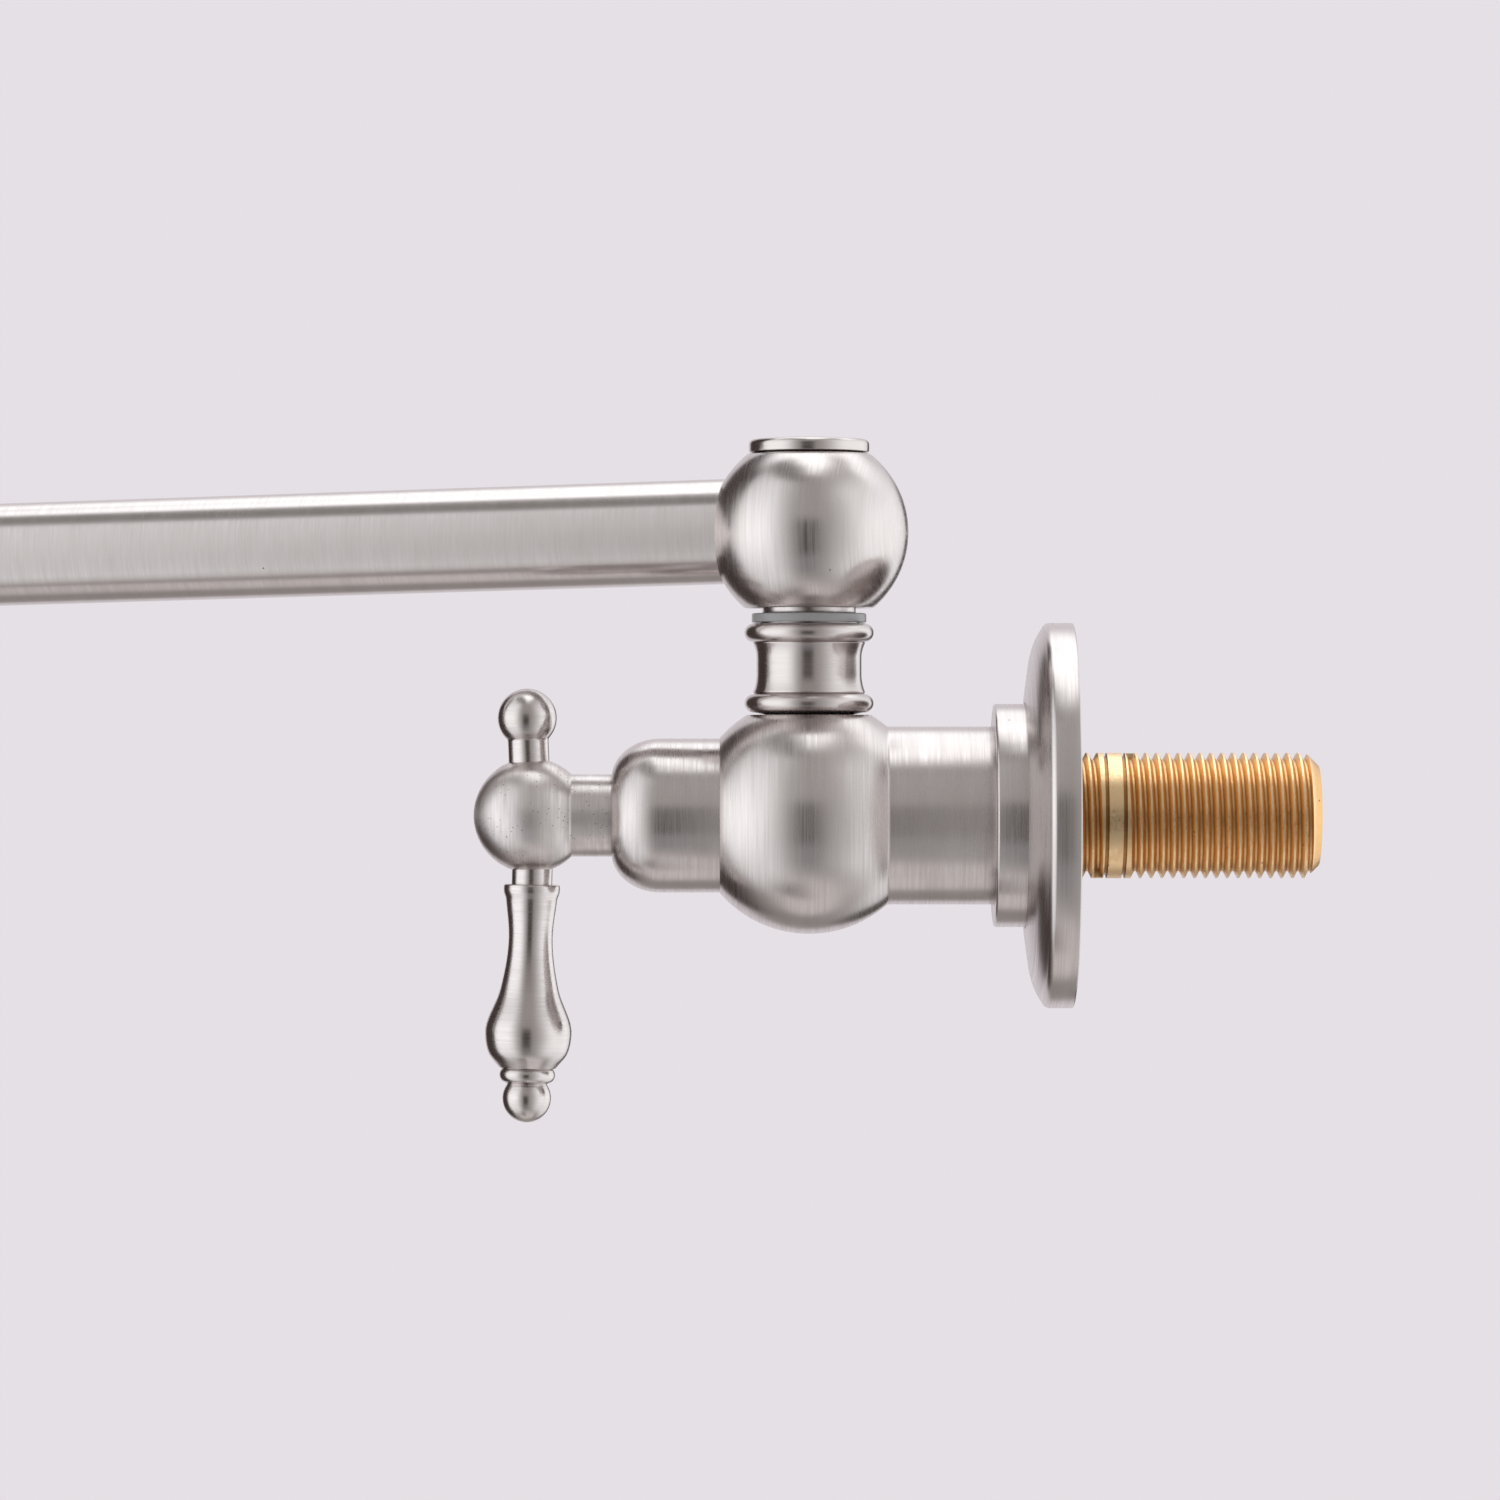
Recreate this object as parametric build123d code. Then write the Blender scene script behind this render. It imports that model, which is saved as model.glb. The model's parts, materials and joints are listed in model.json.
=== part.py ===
from build123d import *

import math
import os

# Wall mounted pot filler, millimetres. The origin is where the axis of the inlet nipple
# crosses the wall plane. -Y points out of the wall into the room, +Z is up, +X is to the
# right for a person who faces the wall. R is a radius, and a name without a unit word is
# a length or a height.

# --- fits that recur --------------------------------------------------------------------
FIT = 0.02  # clearance in joints that are screwed or brazed
RUNNING_GAP = 0.05  # radial clearance of a post or a spindle in its bore
FACE_GAP = 0.05  # between two flat faces that slide on each other
SEAL_GAP = 0.03  # between an o-ring and the bore that it seals
SOCKET_GAP = 0.1  # around an inner part that sits loosely
END_GAP = 0.2  # between the end of a part and the floor of its socket

# --- wall end, made along z, which is turned to +Y ----------------------------------------
THREAD_PITCH = 25.4 / 14  # G1/2 parallel pipe thread, 14 turns to the inch
THREAD_R = 20.955 / 2
THREAD_DEPTH = 1.162
THREAD_TIP = 0.32  # width of the flat on each crest and in each root
THREAD_ENTRY = 1.6  # start of the cut beyond the free end
THREAD_RUN_OUT = 1.45  # from the land to the end of the long thread
SHORT_THREAD_TURNS = 3.22
NIPPLE_END = 41.0  # behind the wall plane
NIPPLE_START = -16.0  # inside the tail
NIPPLE_BORE_R = 6.0
NIPPLE_HEX = 6.0  # half the width across the flats of the socket for the fitting key
NIPPLE_HEX_END = 0.5
NIPPLE_CHAMFER = 2.1
LAND_START = 5.6  # plain band between the short and the long thread
LAND_END = 8.0
RELIEF = 0.6  # width of the shallow ring cut on each side of that band
RELIEF_DEPTH = 0.6
HIDDEN_THREAD_R = 9.9  # plain cylinder where the short thread sits in the tail
TAIL_R = 14.85
TAIL_END = -0.8
COLLAR_THREAD_R = 14.2  # rear of the tail, where the collar screws on
COLLAR_THREAD_START = -10.0
COLLAR_R = 18.63
COLLAR_FRONT = -13.2
COLLAR_EDGE = 0.4
COLLAR_RING_AT = -11.6
COLLAR_RING = 1.15  # section of the o-ring in the collar
FLANGE_R = 32.15
FLANGE_SIDE = 4.1  # height of the rim above the wall plane
FLANGE_EDGE_R = 31.3  # where the rounded rim becomes the shoulder
FLANGE_EDGE = 5.1
FLANGE_EDGE_BULGE = 0.167
FLANGE_SHOULDER_R = 26.3  # where the shoulder becomes the shallow dome
FLANGE_SHOULDER = 7.12
FLANGE_SHOULDER_BULGE = 0.316
FLANGE_TOP = 8.09  # height of the dome at its counterbore
FLANGE_DOME_BULGE = 0.04
FLANGE_BORE_R = 14.6
COUNTERBORE_R = 18.95
COUNTERBORE_FLOOR = 7.1
GASKET_DEPTH = 3.0
GASKET_THICK = 2.8
GASKET_R = 28.4

# --- valve, seen from its ball: local z points forward to the handle, y up -----------------
SWIVEL_Y = -44.0
VALVE_BALL_R = 19.75
NECK_SEAT = 16.8  # flat on the valve ball that the neck stands on
BONNET_R = 12.85
BONNET_BACK = 14.6
BONNET_FRONT = 33.0
BONNET_FLOOR = 27.5  # inner face of the bonnet's front wall
NOSE_LENGTH = 8.2
NOSE_HEIGHT = 6.7
BONNET_SEAT_GAP = 0.1
STEM_GAP = 0.3  # between the bonnet and the hub's stem, which turns in it
MOUTH = 22.0  # front end of the valve body's own neck
MOUTH_R = 11.0
CHAMBER_R = 9.0
CHAMBER_FLOOR = -6.0
PORT_R = 4.25
INLET_R = 5.0

# --- cartridge, in the same place ------------------------------------------------------------
CARTRIDGE_R = 8.95
CARTRIDGE_FOOT = -5.4
CARTRIDGE_WAIST_R = 8.2
CARTRIDGE_WAIST = (-1.5, 7.0)
CARTRIDGE_FRONT = 25.5
CARTRIDGE_HEX = 8.8  # half the width across its flats
CARTRIDGE_RING_AT = 12.0
CARTRIDGE_RING_R = 7.9  # floor of the o-ring's groove
WINDOW_WIDTH = 8.0
WINDOW_HEIGHT = 2.7
RING_GROOVE = 1.8  # width of the cartridge's and the spindle's o-ring grooves
DISC_R = 7.2
DISC_THICK = 3.0
DISC_PORT_R = 4.2  # middle of the arc-shaped ports
DISC_PORT_WIDTH = 2.6
DISC_PORT_ARC = 50  # degrees
FIXED_PORTS_AT = 65  # degrees
MOVING_PORTS_AT = -25  # a quarter turn before the fixed ones, which is shut
DRIVE_SLOT = 1.6
DRIVE_TONGUE = 1.5
DRIVE_DEPTH = 1.0
SEAL_BORE_R = 4.8
TONGUE_R = 7.0
TONGUE_TOP = 6.0
SPINDLE_FOOT = 4.8
SPINDLE_R = 4.0
SPINDLE_SQUARE = 5.6
SQUARE_START = 33.5
SPINDLE_END = 50.0
SPINDLE_RINGS = (10.5, 15.0)
SPINDLE_RING_R = 2.9
CLIP_AT = 26.1
CLIP_R = 5.6
CLIP_GROOVE_R = 3.2
CLIP_THICK = 0.7
CLIP_MOUTH = 4.4

# --- handle, in the same place ---------------------------------------------------------------
STEM_R = 6.85
STEM_BACK = 30.9
HUB_R = 9.6
HUB_Z = 46.4
SQUARE_END_GAP = 0.4
FINIAL_LEAN = 2.3  # degrees, top of the handle away from the wall
LEVER_LEAN = 1.4  # degrees, foot of the handle away from the wall
LEVER_SETBACK = 0.4  # from the hub's centre towards the wall
HANDLE_SEAT = 8.6  # depth of the seats for finial and lever, from the hub's centre
HANDLE_NECK_R = 3.4
FINIAL_STUD_R = 2.0
FINIAL_STUD_END = 3.05
FINIAL_R = 4.93
FINIAL_AT = 16.28
LEVER_STUD_R = 2.5
LEVER_STUD_END = 3.5
LEVER_SOCKET_END = 3.2
LEVER_LIP = 11.5  # start of the lever's thick part, from the hub's centre
LEVER_LIP_R = 4.7
LEVER_LIP_EDGE = 0.3
LEVER_LIP_END = 12.8
# the swelling flank as (radius, distance from the hub's centre)
LEVER_FLANK = ((4.3, 13.9), (3.68, 20.4), (4.87, 29.0), (7.24, 36.5), (6.56, 39.8), (4.7, 42.2))
LEVER_BEAD_R = 4.15
LEVER_BEAD_BULGE = 0.5
LEVER_BEAD_LENGTH = 2.2
LEVER_BEAD_EDGE = 0.3
LEVER_NECK_R = 3.3
LEVER_TIP_R = 4.06
LEVER_TIP_AT = 47.2

# --- swivel, seen from its ball: local z up, x along the arm -----------------------------------
SWIVEL_R = 16.6
SWIVEL_RISE = 47.3  # from valve ball to swivel ball
SWIVEL_TOP = 13.1
SWIVEL_FLAT = -12.65
BOSS_R = 7.8
BOSS_END = -13.5
CAVITY_R = 12.2
CAVITY_LOW = -6.0
CAVITY_HIGH = 5.2
CAP_R = 10.07
CAP_THREAD_R = 8.2
CAP_THREAD = 2.2  # length of the cap's threaded skirt
CAP_RISE = 2.8
CAP_CROWN = 0.45
CAP_EDGE = 0.8
CAP_EDGE_BULGE = 0.23
CAP_FOOT_EDGE = 0.25
SPOOL_BASE = -30.5
SPOOL_HEIGHT = 15.25
SPOOL_BEAD_R = 9.1
SPOOL_WAIST_R = 8.77
SPOOL_FLARE_R = 9.4
SPOOL_TOP_R = 8.27  # land between the upper bead and the washer
WASHER_R = 9.57
WASHER_THICK = 1.5
WASHER_GAP = 0.1
POST_R = 6.5
POST_TOP = 8.6
POST_FOOT = -37.5
POST_SHOULDER = 8.5  # floor under the cap, which the retaining washer turns on
POST_BORE_TOP = 3.3
POST_WINDOW_R = 3.0
POST_RINGS = (-9.8, 6.9)
POST_RING_WIDTHS = (2.0, 1.9)
POST_RING_R = 5.3
SCREW_R = 2.0
SCREW_HOLE_END = 4.6
SCREW_END = 4.9
SCREW_HEAD_R = 4.2
SCREW_HEAD = 2.0
SCREW_HEAD_EDGE = 0.5
SCREW_HEX = 1.5  # half the width across its flats
RETAINER_R = 7.6
RETAINER_BORE_R = 2.2
RETAINER_THICK = 1.0
LOWER_BALL_DROP = 43.5  # from the elbow's upper ball to its lower ball
LOWER_CAVITY_R = 11.5
LOWER_CAVITY_TOP = 4.2
LOWER_SOCKET_GAP = 0.3

# --- arms and spout ----------------------------------------------------------------------------
ARM_R = 8.8
ARM_BORE_R = 7.3
ARM_START = 9.5  # tube end, from the centre of its swivel ball
ARM_SWING = 13.5  # degrees that the stored arms stand off from straight out
ARM_SLOPE = 1.3  # degrees of fall towards the outlet
ARM_LIFT = 0.55  # of the tubes above the centres of the balls
INNER_ARM = 300.0  # axis to axis
OUTER_ARM = 180.0
VALVE_SOCKET = 12.0  # outer tube's end, from the centre of the outlet valve
SPOUT_END = 56.0  # from the centre of the outlet valve, downwards
SPOUT_TOP = NECK_SEAT + SPOOL_HEIGHT
SPOUT_BORE_R = 7.2
SPOUT_WATERWAY_R = 6.0
SPIGOT = 6.0
BELL = 8.0
BELL_R = 10.3
BELL_RIM = 1.2
BELL_FLARE = -0.35
AERATOR_THREAD_R = 8.0
AERATOR_THREAD = 6.5
AERATOR_END = 62.5
AERATOR_BORE_R = 6.6
AERATOR_NECK_R = 9.6
AERATOR_NECK = 0.5
AERATOR_LIP_R = 9.3
AERATOR_LIP = 1.0
AERATOR_LIP_BULGE = 0.29
AERATOR_MOUTH_R = 7.6
AERATOR_MOUTH = 3.0
AERATOR_WASHER = 1.3
INSERT_TOP = 5.0  # above the spout's end
JET_R = 0.62
JET_STEP = 2.0
JET_MARGIN = 1.5  # from the outer jets' centres to the edge of the insert

OUTSIDE = 1.0  # how far a cutter reaches past the surface that it opens
CENTRED_FOOT = (Align.CENTER, Align.CENTER, Align.MIN)
UP = Rot(X=-90)  # turns a piece made along z so that it stands along the valve's y
DOWN = Rot(X=90)
ARM_AXIS = Pos(0, 0, ARM_LIFT) * Rot(Y=90 + ARM_SLOPE)
FINIAL_FRAME = Pos(0, 0, HUB_Z) * Rot(X=FINIAL_LEAN - 90)
LEVER_FRAME = Pos(0, 0, HUB_Z - LEVER_SETBACK) * Rot(X=90 - LEVER_LEAN)


# --- shapes -----------------------------------------------------------------------------------
def rod(radius, start, end):
    """Cylinder about z."""
    return Pos(0, 0, start) * Cylinder(radius, end - start, align=CENTRED_FOOT)


def pipe(outer, inner, start, end):
    """Round tube about z."""
    return rod(outer, start, end) - rod(inner, start, end)


def hexagon(half_width, start, end):
    """Hexagonal bar about z."""
    outline = RegularPolygon(half_width, 6, major_radius=False)
    return extrude(Pos(0, 0, start) * outline, end - start)


def turned(*steps):
    """Solid turned about z from an outline of (r, z) corners. A third number is how far
    that run bulges outwards, as an arc. The outline closes itself."""
    corner = Vector(steps[0][0], 0, steps[0][1])
    first = corner
    edges = []
    for r, z, *bulge in steps[1:]:
        following = Vector(r, 0, z)
        if bulge:
            run = following - corner
            outward = Vector(run.Z, 0, -run.X).normalized()
            edges.append(ThreePointArc(corner, (corner + following) / 2 + outward * bulge[0], following))
        else:
            edges.append(Line(corner, following))
        corner = following
    edges.append(Line(corner, first))
    return revolve(make_face(edges), Axis.Z)


def o_ring(groove_r, outer_r, at):
    """Round-section ring that fills the space from groove_r to outer_r."""
    section = (outer_r - groove_r) / 2
    return Pos(0, 0, at) * Torus(groove_r + section, section)


def groove(floor_r, outer_r, at, width):
    """Ring of space to cut for an o-ring or a clip."""
    return pipe(outer_r, floor_r, at - width / 2, at + width / 2)


def thread_groove(start, turns):
    """Helical V of a G1/2 thread about z, to cut out of the major diameter."""
    root_r = THREAD_R - THREAD_DEPTH
    overshoot = 0.25
    mouth = (THREAD_PITCH - THREAD_TIP) / 2
    flare = mouth + overshoot * (mouth - THREAD_TIP / 2) / THREAD_DEPTH
    section = make_face(
        Polyline(
            (root_r, 0, -THREAD_TIP / 2),
            (THREAD_R + overshoot, 0, -flare),
            (THREAD_R + overshoot, 0, flare),
            (root_r, 0, THREAD_TIP / 2),
            close=True,
        )
    )
    path = Helix(pitch=THREAD_PITCH, height=turns * THREAD_PITCH, radius=root_r)
    return Pos(0, 0, start) * sweep(section, path=path, is_frenet=True)


def spool(base):
    """Waisted neck with a bead at each end, standing on base. The heights and bulges are
    those of the beads' and flares' ends above the base."""
    top_bead_r = SPOOL_BEAD_R + 0.15
    return Pos(0, 0, base) * turned(
        (0, 0),
        (SPOOL_BEAD_R, 0),
        (SPOOL_BEAD_R, 0.1),
        (SPOOL_BEAD_R, 3.46, 1.68),
        (SPOOL_FLARE_R, 3.75),
        (SPOOL_WAIST_R, 6.83, -0.16),
        (SPOOL_WAIST_R, 9.84),
        (SPOOL_FLARE_R, 12.0, -0.11),
        (top_bead_r, 12.15),
        (top_bead_r, SPOOL_HEIGHT, 1.55),
        (0, SPOOL_HEIGHT),
    )


# --- wall end ---------------------------------------------------------------------------------
def make_nipple():
    body = rod(HIDDEN_THREAD_R, NIPPLE_START, TAIL_END) + rod(THREAD_R, TAIL_END, NIPPLE_END)
    body -= rod(NIPPLE_BORE_R, NIPPLE_HEX_END, NIPPLE_END)
    body -= hexagon(NIPPLE_HEX, NIPPLE_START, NIPPLE_HEX_END)
    for side in (LAND_START - RELIEF, LAND_END):
        body -= pipe(THREAD_R + OUTSIDE, THREAD_R - RELIEF_DEPTH, side, side + RELIEF)
    # the long thread runs in from the free end and stops just short of the land's relief
    entry = NIPPLE_END + THREAD_ENTRY
    turns = (entry - LAND_END - THREAD_RUN_OUT) / THREAD_PITCH
    body -= Pos(0, 0, entry) * Rot(X=180) * thread_groove(0, turns)
    body -= thread_groove(TAIL_END - THREAD_PITCH / 2, SHORT_THREAD_TURNS)
    return body - turned(
        (THREAD_R + OUTSIDE, NIPPLE_END - NIPPLE_CHAMFER - OUTSIDE),
        (THREAD_R + OUTSIDE, NIPPLE_END + OUTSIDE),
        (THREAD_R - NIPPLE_CHAMFER - OUTSIDE, NIPPLE_END + OUTSIDE),
    )


def make_flange():
    return turned(
        (FLANGE_BORE_R, -GASKET_DEPTH),
        (FLANGE_BORE_R, -COUNTERBORE_FLOOR),
        (COUNTERBORE_R, -COUNTERBORE_FLOOR),
        (COUNTERBORE_R, -FLANGE_TOP),
        (FLANGE_SHOULDER_R, -FLANGE_SHOULDER, FLANGE_DOME_BULGE),
        (FLANGE_EDGE_R, -FLANGE_EDGE, FLANGE_SHOULDER_BULGE),
        (FLANGE_R, -FLANGE_SIDE, FLANGE_EDGE_BULGE),
        (FLANGE_R, 0),
        (GASKET_R + END_GAP, 0),
        (GASKET_R + END_GAP, -GASKET_DEPTH),
    )


def make_gasket():
    return pipe(GASKET_R, FLANGE_BORE_R + END_GAP, -GASKET_THICK, 0)


def make_collar():
    ring = turned(
        (COLLAR_THREAD_R + FIT, -COUNTERBORE_FLOOR),
        (COLLAR_THREAD_R + FIT, COLLAR_THREAD_START),
        (TAIL_R + FIT, COLLAR_THREAD_START),
        (TAIL_R + FIT, COLLAR_FRONT),
        (COLLAR_R - COLLAR_EDGE, COLLAR_FRONT),
        (COLLAR_R, COLLAR_FRONT + COLLAR_EDGE),
        (COLLAR_R, -COUNTERBORE_FLOOR),
    )
    return ring - groove(TAIL_R, TAIL_R + COLLAR_RING + SEAL_GAP, COLLAR_RING_AT, RING_GROOVE)


def make_collar_o_ring():
    return o_ring(TAIL_R, TAIL_R + COLLAR_RING, COLLAR_RING_AT)


# --- valve ------------------------------------------------------------------------------------
def valve_ball(neck):
    """Ball with its front neck, cartridge chamber and outlet. neck is UP or DOWN."""
    foot_socket_end = SWIVEL_RISE + POST_FOOT - END_GAP
    body = Sphere(VALVE_BALL_R)
    body -= pipe(BONNET_R + BONNET_SEAT_GAP, MOUTH_R, BONNET_BACK, VALVE_BALL_R)
    body += rod(MOUTH_R, 0, MOUTH)
    body -= rod(CHAMBER_R, CHAMBER_FLOOR, MOUTH)
    body -= neck * rod(VALVE_BALL_R, NECK_SEAT, VALVE_BALL_R + OUTSIDE)
    body -= neck * rod(POST_R + FIT, foot_socket_end, NECK_SEAT)
    return body - neck * rod(PORT_R, 0, NECK_SEAT)


def make_wall_valve_body():
    tail = rod(TAIL_R, SWIVEL_Y - COLLAR_THREAD_START, 0)
    tail += rod(COLLAR_THREAD_R, SWIVEL_Y - TAIL_END, SWIVEL_Y - COLLAR_THREAD_START)
    tail -= rod(CHAMBER_R, CHAMBER_FLOOR, 0)
    body = valve_ball(UP) + (tail - UP * rod(POST_R + FIT, 0, NECK_SEAT))
    body -= rod(INLET_R, SWIVEL_Y - TAIL_END, CHAMBER_FLOOR)
    return body - rod(HIDDEN_THREAD_R + FIT, SWIVEL_Y - TAIL_END, SWIVEL_Y - NIPPLE_START + END_GAP)


def make_outlet_valve_body():
    body = valve_ball(DOWN)
    tube_side = Pos(0, ARM_LIFT, 0) * Rot(X=ARM_SLOPE)
    body -= tube_side * rod(ARM_R + FIT, -VALVE_BALL_R - OUTSIDE, -VALVE_SOCKET)
    return body - tube_side * rod(INLET_R, -VALVE_SOCKET, CHAMBER_FLOOR + OUTSIDE)


def make_bonnet():
    nose_start = BONNET_FRONT - NOSE_LENGTH
    nose_r = BONNET_R - NOSE_HEIGHT
    quarter = EllipticalCenterArc((nose_r, 0), NOSE_HEIGHT, NOSE_LENGTH, start_angle=0, arc_size=90)
    nose_outline = [
        Pos(0, 0, nose_start) * (Plane.XZ * quarter),
        Line((nose_r, 0, BONNET_FRONT), (0, 0, BONNET_FRONT)),
        Line((0, 0, BONNET_FRONT), (0, 0, nose_start)),
        Line((0, 0, nose_start), (BONNET_R, 0, nose_start)),
    ]
    shell = rod(BONNET_R, BONNET_BACK, nose_start) + revolve(make_face(nose_outline), Axis.Z)
    shell -= rod(MOUTH_R + FIT, BONNET_BACK, BONNET_FLOOR)
    return shell - rod(STEM_R + STEM_GAP, BONNET_FLOOR, BONNET_FRONT)


# --- cartridge --------------------------------------------------------------------------------
def make_cartridge_body():
    waist_start, waist_end = CARTRIDGE_WAIST
    window = Box(WINDOW_WIDTH, 2 * CARTRIDGE_R, WINDOW_HEIGHT)
    body = rod(CARTRIDGE_R, CARTRIDGE_FOOT, MOUTH)
    body += hexagon(CARTRIDGE_HEX, MOUTH, CARTRIDGE_FRONT)
    body -= pipe(CARTRIDGE_R + OUTSIDE, CARTRIDGE_WAIST_R, waist_start, waist_end)
    body -= rod(DISC_R + SOCKET_GAP, CHAMBER_FLOOR, TONGUE_TOP + SOCKET_GAP)
    body -= rod(SPINDLE_R + RUNNING_GAP, TONGUE_TOP, CARTRIDGE_FRONT)
    body -= groove(CARTRIDGE_RING_R, CARTRIDGE_R + OUTSIDE, CARTRIDGE_RING_AT, RING_GROOVE)
    return body - Pos(0, 0, (TONGUE_TOP + DISC_THICK) / 2) * window


def make_cartridge_o_ring():
    return o_ring(CARTRIDGE_RING_R, CHAMBER_R - FIT, CARTRIDGE_RING_AT)


def disc(start, ports_at):
    """Ceramic disc with two arc-shaped ports, which start at the angle ports_at."""
    body = rod(DISC_R, start, start + DISC_THICK)
    for turn in (0, 180):
        middle = CenterArc((0, 0), DISC_PORT_R, ports_at + turn, DISC_PORT_ARC)
        body -= extrude(Pos(0, 0, start) * SlotArc(middle, DISC_PORT_WIDTH), DISC_THICK)
    return body


def make_fixed_disc():
    return disc(-DISC_THICK, FIXED_PORTS_AT)


def make_moving_disc():
    slot = Box(DRIVE_SLOT, 3 * DISC_R, DRIVE_DEPTH)
    return disc(FACE_GAP, MOVING_PORTS_AT) - Pos(0, 0, FACE_GAP + DISC_THICK - DRIVE_DEPTH / 2) * slot


def make_seat_seal():
    return pipe(DISC_R, SEAL_BORE_R, CHAMBER_FLOOR, -DISC_THICK)


def make_spindle():
    tongue_start = DISC_THICK - DRIVE_DEPTH + 2 * FACE_GAP
    tongue = Pos(0, 0, tongue_start) * Box(
        DRIVE_TONGUE, 2 * DISC_R, TONGUE_TOP - tongue_start, align=CENTRED_FOOT
    )
    square = Pos(0, 0, SQUARE_START) * Box(
        SPINDLE_SQUARE, SPINDLE_SQUARE, SPINDLE_END - SQUARE_START, align=CENTRED_FOOT
    )
    body = tongue & rod(TONGUE_R, tongue_start, TONGUE_TOP)
    body += rod(SPINDLE_R, SPINDLE_FOOT, SQUARE_START)
    body += square & rod(SPINDLE_R, SQUARE_START, SPINDLE_END)
    for ring in SPINDLE_RINGS:
        body -= groove(SPINDLE_RING_R, SPINDLE_R + OUTSIDE, ring, RING_GROOVE)
    return body - groove(CLIP_GROOVE_R, SPINDLE_R + OUTSIDE, CLIP_AT, CLIP_THICK + SOCKET_GAP)


def make_spindle_o_rings():
    outer = SPINDLE_R + RUNNING_GAP - SEAL_GAP
    return [o_ring(SPINDLE_RING_R, outer, ring) for ring in SPINDLE_RINGS]


def make_spindle_clip():
    ring = pipe(CLIP_R, CLIP_GROOVE_R + FIT, CLIP_AT - CLIP_THICK / 2, CLIP_AT + CLIP_THICK / 2)
    mouth = Box(CLIP_MOUTH, CLIP_R + OUTSIDE, 2 * CLIP_THICK, align=(Align.CENTER, Align.MAX, Align.CENTER))
    return ring - Pos(0, 0, CLIP_AT) * mouth


# --- handle -----------------------------------------------------------------------------------
def make_hub():
    socket = SPINDLE_SQUARE + SOCKET_GAP
    square = Box(socket, socket, SPINDLE_END + SQUARE_END_GAP - SQUARE_START, align=CENTRED_FOOT)
    body = Pos(0, 0, HUB_Z) * Sphere(HUB_R)
    body += rod(STEM_R, STEM_BACK, HUB_Z)
    body -= rod(SPINDLE_R + SOCKET_GAP, STEM_BACK, SQUARE_START)
    body -= Pos(0, 0, SQUARE_START) * square
    body -= FINIAL_FRAME * rod(HANDLE_NECK_R + RUNNING_GAP, HANDLE_SEAT, HUB_R + OUTSIDE)
    body -= FINIAL_FRAME * rod(FINIAL_STUD_R + FIT, 0, HANDLE_SEAT)
    body -= LEVER_FRAME * rod(HANDLE_NECK_R + RUNNING_GAP, HANDLE_SEAT, HUB_R + OUTSIDE)
    return body - LEVER_FRAME * rod(LEVER_STUD_R + FIT, LEVER_SOCKET_END, HANDLE_SEAT)


def make_finial():
    body = rod(HANDLE_NECK_R, HANDLE_SEAT, FINIAL_AT) + Pos(0, 0, FINIAL_AT) * Sphere(FINIAL_R)
    return FINIAL_FRAME * (body + rod(FINIAL_STUD_R, FINIAL_STUD_END, HANDLE_SEAT))


def make_lever():
    flank = [(r, 0, z) for r, z in LEVER_FLANK]
    bead_start = flank[-1][2]
    bead_end = bead_start + LEVER_BEAD_LENGTH
    outline = [
        Polyline(
            (0, 0, bead_start),
            (0, 0, LEVER_LIP),
            (LEVER_LIP_R - LEVER_LIP_EDGE, 0, LEVER_LIP),
            (LEVER_LIP_R, 0, LEVER_LIP + LEVER_LIP_EDGE),
            (LEVER_LIP_R, 0, LEVER_LIP_END),
            flank[0],
        ),
        Spline(*flank),
        Line(flank[-1], (0, 0, bead_start)),
    ]
    body = revolve(make_face(outline), Axis.Z)
    body += turned(
        (0, bead_start),
        (LEVER_BEAD_R, bead_start),
        (LEVER_BEAD_R, bead_end, LEVER_BEAD_BULGE),
        (LEVER_NECK_R, bead_end + LEVER_BEAD_EDGE),
        (0, bead_end + LEVER_BEAD_EDGE),
    )
    body += Pos(0, 0, LEVER_TIP_AT) * Sphere(LEVER_TIP_R)
    body += rod(HANDLE_NECK_R, HANDLE_SEAT, LEVER_LIP)
    return LEVER_FRAME * (body + rod(LEVER_STUD_R, LEVER_STUD_END, HANDLE_SEAT))


# --- swivel -----------------------------------------------------------------------------------
def swivel_ball(tube_direction):
    """Ball that turns on the post. tube_direction is 1 where the tube leaves it, -1 where
    a tube arrives."""
    body = Sphere(SWIVEL_R) & rod(SWIVEL_R, SWIVEL_FLAT, SWIVEL_TOP)
    body += rod(BOSS_R, BOSS_END, SWIVEL_FLAT + OUTSIDE)
    body -= rod(POST_R + RUNNING_GAP, BOSS_END, SWIVEL_TOP)
    body -= Sphere(CAVITY_R) & rod(SWIVEL_R, CAVITY_LOW, CAVITY_HIGH)
    body -= rod(CAP_THREAD_R + FIT, POST_SHOULDER, SWIVEL_TOP)
    socket = rod(ARM_R + FIT, ARM_START, SWIVEL_R + OUTSIDE)
    if tube_direction < 0:
        socket = rod(ARM_R + FIT, -SWIVEL_R - OUTSIDE, -ARM_START)
    return body - ARM_AXIS * socket


def make_cap():
    top = SWIVEL_TOP + CAP_RISE
    body = turned(
        (0, SWIVEL_TOP),
        (CAP_R - CAP_FOOT_EDGE, SWIVEL_TOP),
        (CAP_R, SWIVEL_TOP + CAP_FOOT_EDGE),
        (CAP_R, top - CAP_CROWN - CAP_EDGE),
        (CAP_R - CAP_EDGE, top - CAP_CROWN, CAP_EDGE_BULGE),
        (0, top),
    )
    return body + pipe(CAP_THREAD_R, POST_R, SWIVEL_TOP - CAP_THREAD, SWIVEL_TOP)


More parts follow.
